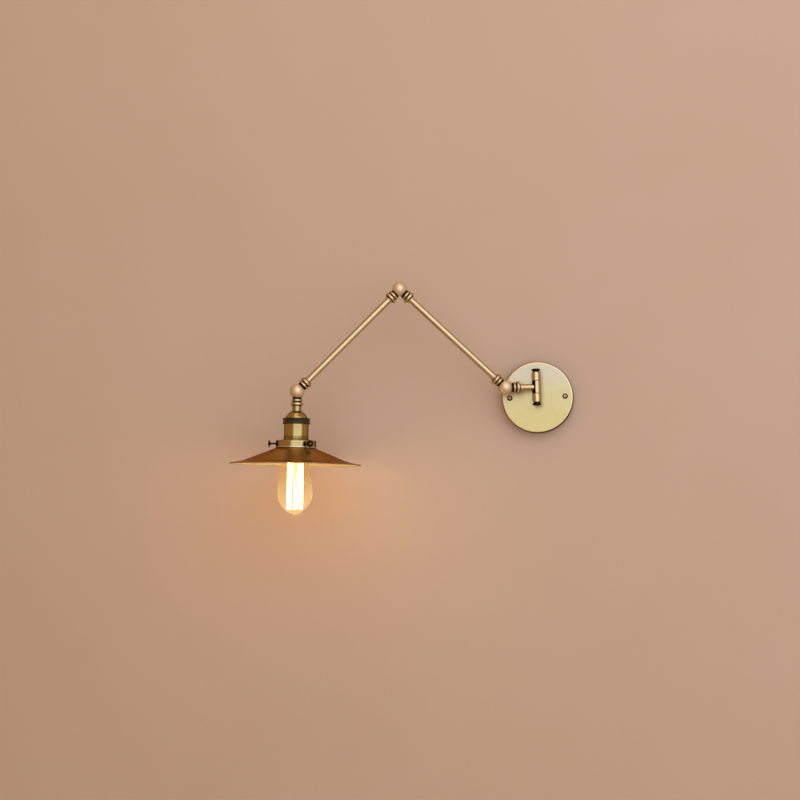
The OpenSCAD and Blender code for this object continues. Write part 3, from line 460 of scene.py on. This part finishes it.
# Knuckles. Each is a brass ball split down the middle, its halves held by a slotted screw, a spring washer and a
# fibre disc. Each half has a collar turned with two rings, and the hollows between them are left dark.
sides = {
    "base_rear_half": (base, stem_axis.col[2].to_3d()),
    "base_front_half": (base, elbow - base),
    "elbow_rear_half": (elbow, base - elbow),
    "elbow_front_half": (elbow, head - elbow),
    "head_rear_half": (head, elbow - head),
}
ball_r, collar_to = 12.5, 25.2
hollows = ((9.6, 13.9), (17.3, 19.2), (23.9, collar_to))


def distance_from_middle(tree, z, radius):
    """How far a spot is from the ball's middle."""
    return calc(tree, "SQRT", calc(tree, "MULTIPLY_ADD", z, z, calc(tree, "MULTIPLY", radius, radius)))


def collar_hollows(tree, x, y, z, radius):
    """Old dark metal in the three hollows beside a collar's two rings, which the polishing never reached."""
    first, second, third = (band(tree, z, *ends, 0.3) for ends in hollows)
    off_ball = ramp(tree, distance_from_middle(tree, z, radius), ball_r + 0.05, ball_r + 0.3)
    return calc(tree, "MULTIPLY", calc(tree, "ADD", calc(tree, "ADD", first, second), third), off_ball)


def ball_surface(tree, x, y, z, radius):
    """The ball itself, worn pale and dull by hands that turn the knuckle."""
    return ramp(tree, distance_from_middle(tree, z, radius), ball_r + 0.15, ball_r + 0.05)


rubbed_ball = (ball_surface, "#f8e8c0", 0.48, 0.15)
for node, (middle, along) in sides.items():
    dress(brass(node + "_brass", place_on(middle, along, front), *antique, gloss=0.26, tarnish_and_painted_shade=collar_hollows,
                wear_and_painted_light=rubbed_ball), node)
lamp_down = Vector(joint["bulb_out"]["axis"])
lamp_axis = place_on(head, lamp_down, front)
deep_antique = ("#c1b077", "#33200e")


def collar_to_neck(tree, x, y, z, radius):
    """The collar's pale brass, and below it the neck's, which is as deep in colour as the lampholder's."""
    return mixed(tree, ramp(tree, z, collar_to - 1.0, collar_to), tone(antique[0]), tone(deep_antique[0]))


dress(brass("neck_brass", lamp_axis, collar_to_neck, antique[1], gloss=0.22, tarnish_and_painted_shade=collar_hollows,
            wear_and_painted_light=rubbed_ball), "head_front_half")
for knuckle in ("base", "elbow", "head"):
    dress(zinc, knuckle + "_hinge_screw", knuckle + "_spring_washer")
    dress(red_fibre, knuckle + "_friction_disc")

# Arms. Two equal lengths of drawn brass tube, polished round and lacquered, screwed into the knuckles' collars. The
# wires to the lamp lie inside them.
for name, start, stop in (("lower_arm", base, elbow), ("upper_arm", elbow, head)):
    dress(brass(name + "_brass", place_on(start, stop - start, front), *antique, patina=0.1), name + "_tube")
    dress(insulation, name + "_wires")

# Lampholder. A domed cap and a shell of turned brass, joined by a moulded ring of dark plastic, with a flared skirt
# below. Inside are the porcelain insulator and its contacts. The cap hangs on a threaded nipple in the neck.


def reach(node, place, height=None):
    """A piece's lowest and highest point along a turning axis and its largest radius, in millimetres.

    With a height, the radius is the one there.
    """
    back = place.inverted()
    spots = [(s.z / mm, math.hypot(s.x, s.y) / mm) for s in (back @ v.co for v in frame["nodes"][node].data.vertices)]
    heights = [z for z, r in spots]
    return min(heights), max(heights), max(r for z, r in spots if height is None or abs(z - height) < 0.05)


def sheet(line, wall):
    """The closed outline of a sheet of that wall, laid along the left of a line."""
    line = [Vector(p) for p in line]
    inner = []
    for i, here in enumerate(line):
        ways = [(line[j + 1] - line[j]).normalized() for j in (max(i - 1, 0), min(i, len(line) - 2))]
        a, b = (Vector((-way.y, way.x)) for way in ways)
        inner.append(here + wall * (a + b) / (1 + a.dot(b)))
    return line + inner[::-1] + line[:1]


turned_tree, turned_given, turned_end = new_tree(
    "Turned piece", Outline="Geometry", Steps_round="Int", Thread_pitch="Float", Thread_depth="Float",
    Thread_from="Float", Thread_to="Float", Knurls="Int", Knurl_depth="Float", Knurl_from="Float", Knurl_to="Float")


def thread_and_knurls(height, radius, turn):
    """A rounded thread that runs out at both ends of one stretch, and straight knurls along another."""
    t, given = turned_tree, turned_given
    lead = calc(t, "SUBTRACT", calc(t, "DIVIDE", calc(t, "MULTIPLY", height, math.tau), given["Thread pitch"]), turn)
    groove = calc(t, "MULTIPLY_ADD", calc(t, "COSINE", lead), 0.5, 0.5)
    ends = calc(t, "MULTIPLY", *(
        ramp(t, height, given[limit], calc(t, "MULTIPLY_ADD", given["Thread pitch"], inward, given[limit]))
        for limit, inward in (("Thread from", 0.5), ("Thread to", -0.5))))
    thread = calc(t, "MULTIPLY", calc(t, "MULTIPLY", groove, given["Thread depth"]), ends)
    wave = calc(t, "MULTIPLY_ADD", calc(t, "COSINE", calc(t, "MULTIPLY", turn, given["Knurls"])), 0.5, 0.5)
    rim = calc(t, "MULTIPLY", calc(t, "GREATER_THAN", height, given["Knurl from"]),
               calc(t, "LESS_THAN", height, given["Knurl to"]))
    return calc(t, "MULTIPLY_ADD", calc(t, "MULTIPLY", wave, given["Knurl depth"]), rim, thread)


end_tree(turned_tree, turned_given, turned_end,
         lathe(turned_tree, turned_given["Outline"], turned_given["Steps round"], thread_and_knurls))
plain = dict(Steps_round=128, Thread_pitch=1.0, Thread_depth=0.0, Thread_from=0.0, Thread_to=0.0,
             Knurls=0, Knurl_depth=0.0, Knurl_from=0.0, Knurl_to=0.0)

holder_brass = brass("holder_brass", lamp_axis, *deep_antique, gloss=0.2)
dome_from, dome_end, dome_foot = reach("domed_cap", lamp_axis)
ring_from, ring_end, ring_out = reach("lock_ring", lamp_axis)
hole_r, holder_wall = 5.05, 1.0
_, _, neck_r = reach("domed_cap", lamp_axis, dome_from)
dome_mid = (dome_foot ** 2 + ring_from ** 2 - neck_r ** 2 - dome_from ** 2) / (2 * (ring_from - dome_from))
dome_curve = math.hypot(dome_foot, ring_from - dome_mid)
dome_turn = [math.degrees(math.atan2(z - dome_mid, r)) for z, r in ((dome_from, neck_r), (ring_from, dome_foot))]
domed_cap = make("domed_cap_spun", turned_tree, sheet(
    [(hole_r, dome_from), *arc((0, dome_mid), dome_curve, *dome_turn, 24), (dome_foot, dome_end)], holder_wall),
    lamp_axis, holder_brass, **plain)
settle(domed_cap, "lamp_head", "aged_brass", "domed_cap")

waist, waist_inset, lip = 0.7, 1.8, 0.8
ring_middle = (ring_from + ring_end) / 2
inner_top, inner_foot = dome_foot + 0.05, 20.45
waist_long = ring_end - ring_from - 2 * waist_inset
waist_line = [(ring_out - waist * math.sin(math.pi * i / 16), ring_from + waist_inset + waist_long * i / 16)
              for i in range(17)]


def moulded(name, body, shade, gleam):
    """Dark moulded plastic with faint flow marks, whose dull gloss has that colour."""
    material, tree, shader = new_finish(name, Specular_Tint=tone(gleam))
    spot = millimetres(tree)
    cloud = noise(tree, spot, 0.25, 5.0)
    wire(tree, shader, {
        "Base Color": mixed(tree, cloud, tone(body), tone(shade)),
        "Roughness": ramp(tree, cloud, 0.3, 0.7, 0.34, 0.5)})
    roughen(tree, shader, noise(tree, spot, 4.0), 0.02)
    return material


brown_plastic = moulded("brown_moulded_plastic", "#3a2c16", "#282012", "#f6cea6")
lock_ring = make("lock_ring_moulded", turned_tree, outline(
    (inner_top, ring_from), (ring_out, ring_from, lip), *waist_line, (ring_out, ring_end, lip),
    (inner_foot, ring_end), (inner_foot, ring_middle), (inner_top, ring_middle)), lamp_axis, brown_plastic, **plain)
settle(lock_ring, "lamp_head", "dark_plastic", "lock_ring")

skirt_from, skirt_end, skirt_out = reach("holder_skirt", lamp_axis)
bead_r, bead_mid, tail_hole = 1.0, 20.0, 19.35
flare = [(bead_mid + (skirt_out - bead_mid) * (i / 16) ** 1.8,
          skirt_from + 2 * bead_r + (skirt_end - skirt_from - 2 * bead_r - 0.8) * i / 16) for i in range(1, 17)]
skirt = make("holder_skirt_turned", turned_tree, outline(
    (tail_hole, skirt_from), *arc((bead_mid, skirt_from + bead_r), bead_r, -90, 90, 14), *flare,
    (skirt_out, skirt_end, 0.2), (tail_hole, skirt_end)), lamp_axis, holder_brass, **plain)
settle(skirt, "lamp_head", "aged_brass", "holder_skirt")
dress(holder_brass, "holder_shell", "screw_contact", "centre_contact")
dress(white_porcelain, "insulator")
dress(zinc, "nipple", "nipple_nut")

# Gallery. A shallow turned brass cup that holds the shade, clamped to the skirt by a ring on the shell's thread. Its
# foot is a narrow rolled edge.


def foot_painted_highlight(tree, x, y, z, radius):
    """A painted highlight along the gallery's foot."""
    return ramp(tree, z, gallery_foot - 2.4, gallery_foot - 1.4)


_, gallery_foot, _ = reach("gallery", lamp_axis)
# The gallery's foot carries a painted highlight.
dress(brass("gallery_brass", lamp_axis, *deep_antique, gloss=0.2, wear_and_painted_light=(foot_painted_highlight, "#f6ead0", 0.3, 0.0)),
      "gallery", "clamp_ring")

# Shade. One disc of thin brass spun over a wooden former: a low cone that bends softly into a flatter brim, with
# its rim rolled into a bead. Its beaded neck stands inside the gallery.
neck_top, rim_foot, shade_r = reach("shade", lamp_axis)
bead, shade_wall, shade_neck_r, gallery_r = 0.9, 1.0, 28.3, 34.0
brim_w, brim_drop, half_bend = 18.0, 3.2, 6.0
rim_at = rim_foot - bead - 0.4
cone_to, cone_from = rim_at - brim_drop, gallery_foot + 0.9
cone_r = shade_r - brim_w
slope, brim_slope = (cone_to - cone_from) / (cone_r - gallery_r), brim_drop / brim_w
neck_foot = cone_from - (gallery_r - shade_neck_r) * slope
bend_line = []
for i in range(17):
    share = i / 16
    bend_line.append((cone_r + half_bend * (2 * share - 1),
                      cone_to - half_bend * (slope * (1 - share) ** 2 - brim_slope * share ** 2)))
neck_flare, neck_rise = 1.2, 2.6
neck_line = [(shade_neck_r + neck_flare * t * t, neck_foot - neck_rise * (1 - t) ** 2 + neck_flare * slope * t * t)
             for t in (0, 0.25, 0.5, 0.75, 1)]
top_line = [(shade_neck_r, neck_top + 2 * bead), *neck_line, *bend_line]
spun = sheet(top_line, shade_wall)
half = len(top_line)
rim_middle = (shade_r - bead, rim_at + 0.4)
shade_outline = [*spun[:half], *arc(rim_middle, bead, 211, 504, 20), *spun[half:-1],
                 *arc((shade_neck_r, neck_top + bead), bead, 180, 450, 18)]


def inside(tree, x, y, z, radius):
    """The shade's inner surface, which faces down, paler and duller: partly a dull spun finish, partly a painted
    stand-in for the bulb's light on it.
    """
    facing = add(tree, "ShaderNodeTexCoord").outputs["Normal"]
    down = add(tree, "ShaderNodeVectorMath", {0: facing, 1: lamp_down}, operation="DOT_PRODUCT").outputs["Value"]
    return calc(tree, "MULTIPLY", ramp(tree, down, 0.1, 0.4), ramp(tree, radius, shade_r - 1.9, shade_r - 2.3))


def rim_painted_shade(tree, x, y, z, radius):
    """Painted shade on the bead of the rolled rim."""
    return ramp(tree, radius, shade_r - 2.1, shade_r - 1.7, 0.0, 0.3)


# The shade carries painted shade on its rim's bead, and a paler inner surface that partly stands for the bulb's light
# on it.
shade = make("shade_spun", turned_tree, shade_outline + shade_outline[:1], lamp_axis,
             brass("shade_brass", lamp_axis, "#ceb47e", "#5a3414", gloss=0.26, patina=0.2, marks=1.2,
                   tarnish_and_painted_shade=rim_painted_shade, wear_and_painted_light=(inside, "#fff0bc", 0.5, 0.85), edge="#bc826a"),
             **{**plain, "Steps_round": 256})
settle(shade, "lamp_head", "aged_brass", "shade")

# Thumbscrews. Three bronzed screws turned from rod, with a knurled head and a small button on its face. They pass
# through the gallery and press on the shade's neck below its bead.
thread_r, pitch, head_out, head_deep = 1.5, 0.5, 5.8, 3.6
tip, head_at = shade_neck_r + 0.05, gallery_r + 8.7
thread_rows = [(thread_r, tip + 0.4 + pitch / 6 * i) for i in range(int((head_at - tip - 0.6) * 6 / pitch))]
thumb_corners = outline(
    (0, tip), (thread_r - 0.4, tip), *thread_rows, (thread_r, head_at - 0.1), (2.6, head_at, 0.3),
    (3.4, head_at + 1.0, 0.5), (head_out, head_at + 1.1, 0.3), (head_out, head_at + head_deep - 0.2, 0.3),
    (3.9, head_at + head_deep - 0.1, 0.3), (3.6, head_at + head_deep - 0.3, 0.2),
    *arc((0, head_at - 0.5), 4.9, 50, 90, 8))


def button_painted_highlight(tree, x, y, z, radius):
    """A painted highlight on the button on the head's face, pale in the middle."""
    return calc(tree, "MULTIPLY", ramp(tree, radius, 1.8, 0.8), calc(tree, "GREATER_THAN", z, head_at + 3.0))


for name in ("outer", "front", "back"):
    low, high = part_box(name + "_thumbscrew")
    outward = Vector(joint[name + "_thumbscrew_out"]["axis"])
    centre = (low + high) / 2
    on_lamp_axis = centre - outward * (centre - lamp_axis.translation).dot(outward)
    axis = place_on(on_lamp_axis, outward, lamp_down)
    # The middle of each head's button is a painted highlight.
    screw = make(f"{name}_thumbscrew_knurled", turned_tree, thumb_corners, axis,
                 brass(f"{name}_thumbscrew_bronze", axis, *bronze, gloss=0.26, patina=0.3,
                       wear_and_painted_light=(button_painted_highlight, "#bfae98", 0.35, 0.0)),
                 Steps_round=96, Thread_pitch=pitch * mm, Thread_depth=0.3 * mm, Thread_from=(tip + 0.3) * mm,
                 Thread_to=(head_at - 0.3) * mm, Knurls=32, Knurl_depth=0.35 * mm,
                 Knurl_from=(head_at + 1.3) * mm, Knurl_to=(head_at + head_deep - 0.4) * mm)
    settle(screw, name + "_screw", "bronze", name + "_thumbscrew")

# Bulb. A clear lamp with a cage of one long coiled filament. Its cap is rolled from thin brass with the usual round
# thread, and ends in a black glass button and the contact. The blown glass is sealed round the stem inside it.
_, cap_end, cap_r = reach("bulb_cap", lamp_axis)
contact_tip, _, _ = reach("bulb_contact", lamp_axis)
glass_from, glass_end, bulb_r = reach("bulb_glass", lamp_axis)
cap_pitch, cap_thread, row_step, cap_wall = 3.63, 0.9, 0.4, 0.4
cap_rows = round((cap_end - contact_tip - 2.8) / row_step)
bulb_cap = make("bulb_cap_rolled", turned_tree, sheet(
    [(5.6, contact_tip + 0.9), (cap_r - 1.6, contact_tip + 1.2), (cap_r - 0.4, contact_tip + 1.9),
     *[(cap_r, cap_end - row_step * i) for i in range(cap_rows, -1, -1)]], cap_wall), lamp_axis,
    brass("bulb_cap_brass", lamp_axis, "#cfc096", "#7d6a44", gloss=0.22, patina=0.3),
    **{**plain, "Thread_pitch": cap_pitch * mm, "Thread_depth": cap_thread * mm,
       "Thread_from": (contact_tip + 3.2) * mm, "Thread_to": (glass_from - 0.3) * mm})
settle(bulb_cap, "bulb", "bulb_brass", "bulb_cap")
dress(brass("bulb_contact_brass", lamp_axis, "#c9c2ae", "#8b8574", gloss=0.3), "bulb_contact")
dress(moulded("cap_button_glass", "#15161a", "#0b0c0e", "#ffffff"), "bulb_insulator")


def clear_glass(name, tint, amber, glow):
    """Clear glass with faint drawn streaks. Its amber round the neck and its faint emission, which grows towards the
    tip, are painted glow for the filament's light caught in the glass.

    It lets the light of the lamps through.
    """
    material, tree, shader = new_finish(name, Transmission_Weight=1.0, IOR=1.5, Emission_Color=tone(glow))
    spot = millimetres(tree, lamp_axis)
    depth = add(tree, "ShaderNodeSeparateXYZ", {0: spot}).outputs["Z"]
    wire(tree, shader, {
        "Base Color": mixed(tree, ramp(tree, depth, cap_end + 20, glass_end - 25), tone(amber), tone(tint)),
        "Emission Strength": ramp(tree, depth, cap_end + 30, glass_end - 15, 0.02, 0.09)})
    streaks = noise(tree, add(tree, "ShaderNodeVectorMath", {0: spot, 1: (1, 1, 0.15)}, operation="MULTIPLY"), 0.12)
    wire(tree, shader, {"Roughness": ramp(tree, streaks, 0.3, 0.8, 0.0, 0.03)})
    roughen(tree, shader, streaks, 0.25)
    through = add(tree, "ShaderNodeMixShader", {
        0: add(tree, "ShaderNodeLightPath").outputs["Is Shadow Ray"], 1: shader,
        2: add(tree, "ShaderNodeBsdfTransparent", {0: tone(tint)})})
    wire(tree, tree.nodes["Material Output"], {"Surface": through})
    return material


# The amber round the glass's neck and its faint emission are painted glow.
bulb_glass = clear_glass("bulb_glass_clear", "#fffdf8", "#f4e6b4", "#ffd67c")
glass_wall, end_len, shoulder_power, end_power = 0.8, 33.0, 1.2, 1.21
widest_at, glass_neck_r = glass_end - end_len, cap_r - 0.6
glass_line = [(glass_neck_r, glass_from)]
for i in range(41):
    rise = math.sin(math.radians(90 * i / 40)) ** shoulder_power
    glass_line.append((glass_neck_r + (bulb_r - glass_neck_r) * rise, cap_end + (widest_at - cap_end) * i / 40))
for i in range(1, 25):
    a = math.radians(84 * i / 24)
    glass_line.append((bulb_r * math.cos(a) ** end_power, widest_at + (end_len - 1) * math.sin(a) ** end_power))
glass_line += [(1.4, glass_end - 0.2), (0.9, glass_end), (0, glass_end)]
blown = make("bulb_glass_blown", turned_tree, sheet(glass_line, glass_wall), lamp_axis, bulb_glass, **plain)
settle(blown, "bulb", "clear_glass", "bulb_glass")

cage_top, cage_foot = (reach("filament", lamp_axis)[i] for i in (0, 1))
rod_r, button_r, turn_r, strands = 1.7, 2.7, 0.6, 18
stem = make("bulb_stem_drawn", turned_tree, outline(
    (0, glass_from + 1), (glass_neck_r - 0.95, glass_from + 1), (8, glass_from + 5, 3), (4.6, cap_end + 8, 6),
    (3.2, cap_end + 21, 2), (rod_r, cap_end + 25, 1.5), (rod_r, cage_foot - 2, 0.6), (button_r, cage_foot - 1.1, 0.4),
    (button_r, cage_foot + 0.2, 0.5), (0, cage_foot + 1.2)), lamp_axis, bulb_glass, **plain)
settle(stem, "bulb", "clear_glass", "bulb_stem")

# Filament. One wire, wound into a fine coil, runs down and up round the cage and turns at a hook each time. The
# hooks are fine wires set in the stem's rod, and two thicker leads bring the current.


def hot_wire(name, glow, strength):
    """Incandescent wire, a little hotter where its coils lie close."""
    material, tree, shader = new_finish(name, Base_Color=tone("#5a4a3c"), Roughness=0.6, Emission_Color=tone(glow))
    spot = millimetres(tree)
    heat = ramp(tree, noise(tree, spot, 0.12, 2.0), 0.3, 0.7, 0.9 * strength, 1.1 * strength)
    wire(tree, shader, {"Emission Strength": heat})
    roughen(tree, shader, noise(tree, spot, 6.0), 0.05)
    return material


def tube_along(tree, curve, radius, corners):
    """A closed round wire along a curve."""
    ring = add(tree, "GeometryNodeCurvePrimitiveCircle", {"Resolution": corners, "Radius": radius})
    return add(tree, "GeometryNodeCurveToMesh", {"Curve": curve, "Profile Curve": ring, "Fill Caps": True})


cage_tree, cage_given, cage_end = new_tree(
    "Filament cage", Strands="Int", Cage_radius="Float", Top="Float", Foot="Float", Turn_radius="Float",
    Wire_radius="Float")
per_turn, wire_corners = 9, 8
point_count = calc(cage_tree, "MULTIPLY", cage_given["Strands"], per_turn)
point_index = add(cage_tree, "GeometryNodeInputIndex")
strand = calc(cage_tree, "FLOOR", calc(cage_tree, "DIVIDE", point_index, per_turn))
along_turn = calc(cage_tree, "MODULO", point_index, per_turn)
bend = calc(cage_tree, "MULTIPLY_ADD", along_turn, math.pi / (per_turn - 1), -math.pi / 2)
angle = calc(cage_tree, "MULTIPLY", calc(cage_tree, "DIVIDE", strand, cage_given["Strands"]), math.tau)
low_end = calc(cage_tree, "MODULO", strand, 2.0)
hook_at = add(cage_tree, "ShaderNodeMapRange", {
    0: low_end, 1: 0.0, 2: 1.0, 3: cage_given["Top"], 4: cage_given["Foot"]})
away = calc(cage_tree, "MULTIPLY_ADD", low_end, -2.0, 1.0)
sag = calc(cage_tree, "SUBTRACT", 1.0, calc(cage_tree, "COSINE", bend))
drop = calc(cage_tree, "MULTIPLY", sag, cage_given["Turn radius"])
flat = add(cage_tree, "ShaderNodeCombineXYZ", {
    0: cage_given["Cage radius"],
    1: calc(cage_tree, "MULTIPLY", calc(cage_tree, "SINE", bend), cage_given["Turn radius"]),
    2: calc(cage_tree, "MULTIPLY_ADD", drop, away, hook_at)})
wire_spot = add(cage_tree, "ShaderNodeVectorRotate", {"Vector": flat, "Angle": angle}, rotation_type="Z_AXIS")
wire_points = add(cage_tree, "GeometryNodeMeshLine", {"Count": point_count})
wire_line = add(cage_tree, "GeometryNodeMeshToCurve", {0: wire_points})
wire_path = add(cage_tree, "GeometryNodeSetPosition", {0: wire_line, "Position": wire_spot})
end_tree(cage_tree, cage_given, cage_end, tube_along(cage_tree, wire_path, cage_given["Wire radius"], wire_corners))
cage_r = 13.1
filament = make(
    "filament_coiled", cage_tree, [], lamp_axis, hot_wire("glowing_filament", "#ffd59a", 36.0), Strands=strands,
    Cage_radius=cage_r * mm, Top=(cage_top + 0.3) * mm, Foot=(cage_foot - 0.3) * mm, Turn_radius=turn_r * mm,
    Wire_radius=0.36 * mm)
settle(filament, "bulb", "filament_wire", "filament")

hook_tree, hook_given, hook_end = new_tree(
    "Filament supports", Strands="Int", Cage_radius="Float", Top="Float", Foot="Float", Rod_radius="Float",
    Button_radius="Float", Wire_radius="Float", Lead_radius="Float", Lead_from="Float", Lead_out="Float")


def spoke(tree, start_r, start_z, end_r, end_z, thickness):
    """A straight wire from one radius and height to another, in the plane of X and Z."""
    ends = [add(tree, "ShaderNodeCombineXYZ", {0: r, 2: z}) for r, z in ((start_r, start_z), (end_r, end_z))]
    return tube_along(tree, add(tree, "GeometryNodeCurvePrimitiveLine", dict(enumerate(ends))), thickness,
                      wire_corners)


turn_step = calc(hook_tree, "DIVIDE", math.tau, hook_given["Strands"])
half_count = calc(hook_tree, "DIVIDE", hook_given["Strands"], 2.0)
cage_inside = calc(hook_tree, "SUBTRACT", hook_given["Cage radius"], 0.45 * mm)
supports_made = []
for rod_or_button, level, first in (("Rod radius", "Top", 2.0), ("Button radius", "Foot", 1.0)):
    hook = spoke(hook_tree, hook_given[rod_or_button], hook_given[level], cage_inside, hook_given[level],
                 hook_given["Wire radius"])
    hook_spots = add(hook_tree, "GeometryNodeMeshLine", {
        "Count": calc(hook_tree, "SUBTRACT", half_count, 1.0), "Offset": (0, 0, 0)})
    strand_at = calc(hook_tree, "MULTIPLY_ADD", add(hook_tree, "GeometryNodeInputIndex"), 2.0, first)
    about = add(hook_tree, "ShaderNodeCombineXYZ", {2: calc(hook_tree, "MULTIPLY", strand_at, turn_step)})
    supports_made.append(add(hook_tree, "GeometryNodeInstanceOnPoints", {
        0: hook_spots, "Instance": hook, "Rotation": about}))
for lead_at, level in ((0.0, "Top"), (-1.0, "Foot")):
    lead = spoke(hook_tree, hook_given["Lead out"], hook_given["Lead from"], cage_inside, hook_given[level],
                 hook_given["Lead radius"])
    lead_about = add(hook_tree, "ShaderNodeCombineXYZ", {2: calc(hook_tree, "MULTIPLY", turn_step, lead_at)})
    supports_made.append(add(hook_tree, "GeometryNodeTransform", {0: lead, "Rotation": lead_about}))
end_tree(hook_tree, hook_given, hook_end, add(hook_tree, "GeometryNodeJoinGeometry", {0: supports_made}))
grey_wire = plated_steel("drawn_support_wire", "#a39c90", "#7c766c")
supports = make(
    "filament_supports_drawn", hook_tree, [], lamp_axis, grey_wire, Strands=strands, Cage_radius=cage_r * mm,
    Top=(cage_top + 0.3) * mm, Foot=(cage_foot - 0.3) * mm, Rod_radius=(rod_r - 0.1) * mm,
    Button_radius=(button_r - 0.1) * mm, Wire_radius=0.2 * mm, Lead_radius=0.25 * mm,
    Lead_from=(cap_end + 19) * mm, Lead_out=3.1 * mm)
settle(supports, "bulb", "support_wire", "filament_supports")

# The room: a pale wall behind the lamp and a pale floor below it. Both are seen from one side only, so that the lamp
# shows from behind as well. The wall is open where the plate covers its wires, so that light reaches the plate's back.


def one_sided(name, colour, patch):
    """Matt paint that shows from its front and lets light and view through from behind."""
    material, tree, shader = new_finish(name, Roughness=0.9)
    cloud = noise(tree, millimetres(tree), 0.004, 3.0)
    wire(tree, shader, {"Base Color": mixed(tree, cloud, tone(colour), tone(patch))})
    behind = add(tree, "ShaderNodeNewGeometry").outputs["Backfacing"]
    both = add(tree, "ShaderNodeMixShader", {0: behind, 1: shader, 2: add(tree, "ShaderNodeBsdfTransparent")})
    wire(tree, tree.nodes["Material Output"], {"Surface": both})
    return material


def board(name, corners, faces, finish):
    """A flat stage surface with those corners."""
    mesh = bpy.data.meshes.new(name)
    mesh.from_pydata(corners, [], faces)
    mesh.materials.append(finish)
    piece = bpy.data.objects.new(name, mesh)
    bpy.context.scene.collection.objects.link(piece)


paint = one_sided("pale_paint", "#cfb69f", "#d3bda8")
far, floor_z, ceiling_z, wall_y, opening_r = 6.0, -1.0, 3.0, 0.0006, 0.057
wall_edge = [(-far, floor_z), (0, floor_z), (far, floor_z), (far, 0), (far, ceiling_z), (0, ceiling_z),
             (-far, ceiling_z), (-far, 0)]
rounds = len(wall_edge)
opening = arc((0, 0), opening_r, -135, 180, rounds - 1)
board("wall", [(x, wall_y, z) for x, z in wall_edge + opening],
      [(i, (i + 1) % rounds, rounds + (i + 1) % rounds, rounds + i) for i in range(rounds)], paint)
board("floor", [(-far, -far, floor_z), (far, -far, floor_z), (far, wall_y, floor_z), (-far, wall_y, floor_z)],
      [(0, 1, 2, 3)], paint)


def softbox(name, place, target, width, height, brightness, colour):
    """A soft lamp of that size and brightness, turned to a point. It doesn't show through the bulb's glass."""
    lamp = bpy.data.lights.new(name, "AREA")
    lamp.shape, lamp.size, lamp.size_y = "RECTANGLE", width, height
    lamp.energy = brightness * math.pi * width * height
    lamp.color = tone(colour)[:3]
    holder = bpy.data.objects.new(name, lamp)
    holder.matrix_world = Matrix.Translation(place) @ (Vector(target) - Vector(place)).to_track_quat(
        "-Z", "Y").to_matrix().to_4x4()
    holder.visible_transmission = False
    bpy.context.scene.collection.objects.link(holder)


softbox("window", (0.80, -2.42, 0.85), (-0.3, 0, 0.5), 4.5, 4.2, 1.28, "#dceeff")
softbox("ceiling", (-0.3, -0.9, 2.4), (-0.3, -0.3, 0), 1.4, 2.4, 0.8, "#ffe0c4")
world = bpy.data.worlds.new("room_light")
world.use_nodes = True
wire(world.node_tree, world.node_tree.nodes["Background"], {"Color": tone("#b3875a"), "Strength": 0.98})
bpy.context.scene.world = world

# The camera stands a little below the lamp and to its right, and looks up at it slightly.
camera_at, turned_left, tilted_up, leaning = Vector((0.1122, -2.2279, -0.1589)), 9.113, 4.172, 1.518
focal_pixels, frame_pixels, film_mm = 1267, 800, 36.0
aim = (Matrix.Rotation(math.radians(turned_left), 3, "Z") @ Matrix.Rotation(math.radians(tilted_up), 3, "X")
       @ Matrix.Rotation(math.radians(leaning), 3, "Y"))
lens = bpy.data.cameras.new("camera")
lens.sensor_width = film_mm
lens.lens = focal_pixels / frame_pixels * film_mm
camera = bpy.data.objects.new("camera", lens)
camera_turn = Matrix((aim.col[0], aim.col[2], -aim.col[1])).transposed()
camera.matrix_world = Matrix.Translation(camera_at) @ camera_turn.to_4x4()
bpy.context.scene.collection.objects.link(camera)
bpy.context.scene.camera = camera
bpy.context.scene.view_settings.view_transform = "Standard"
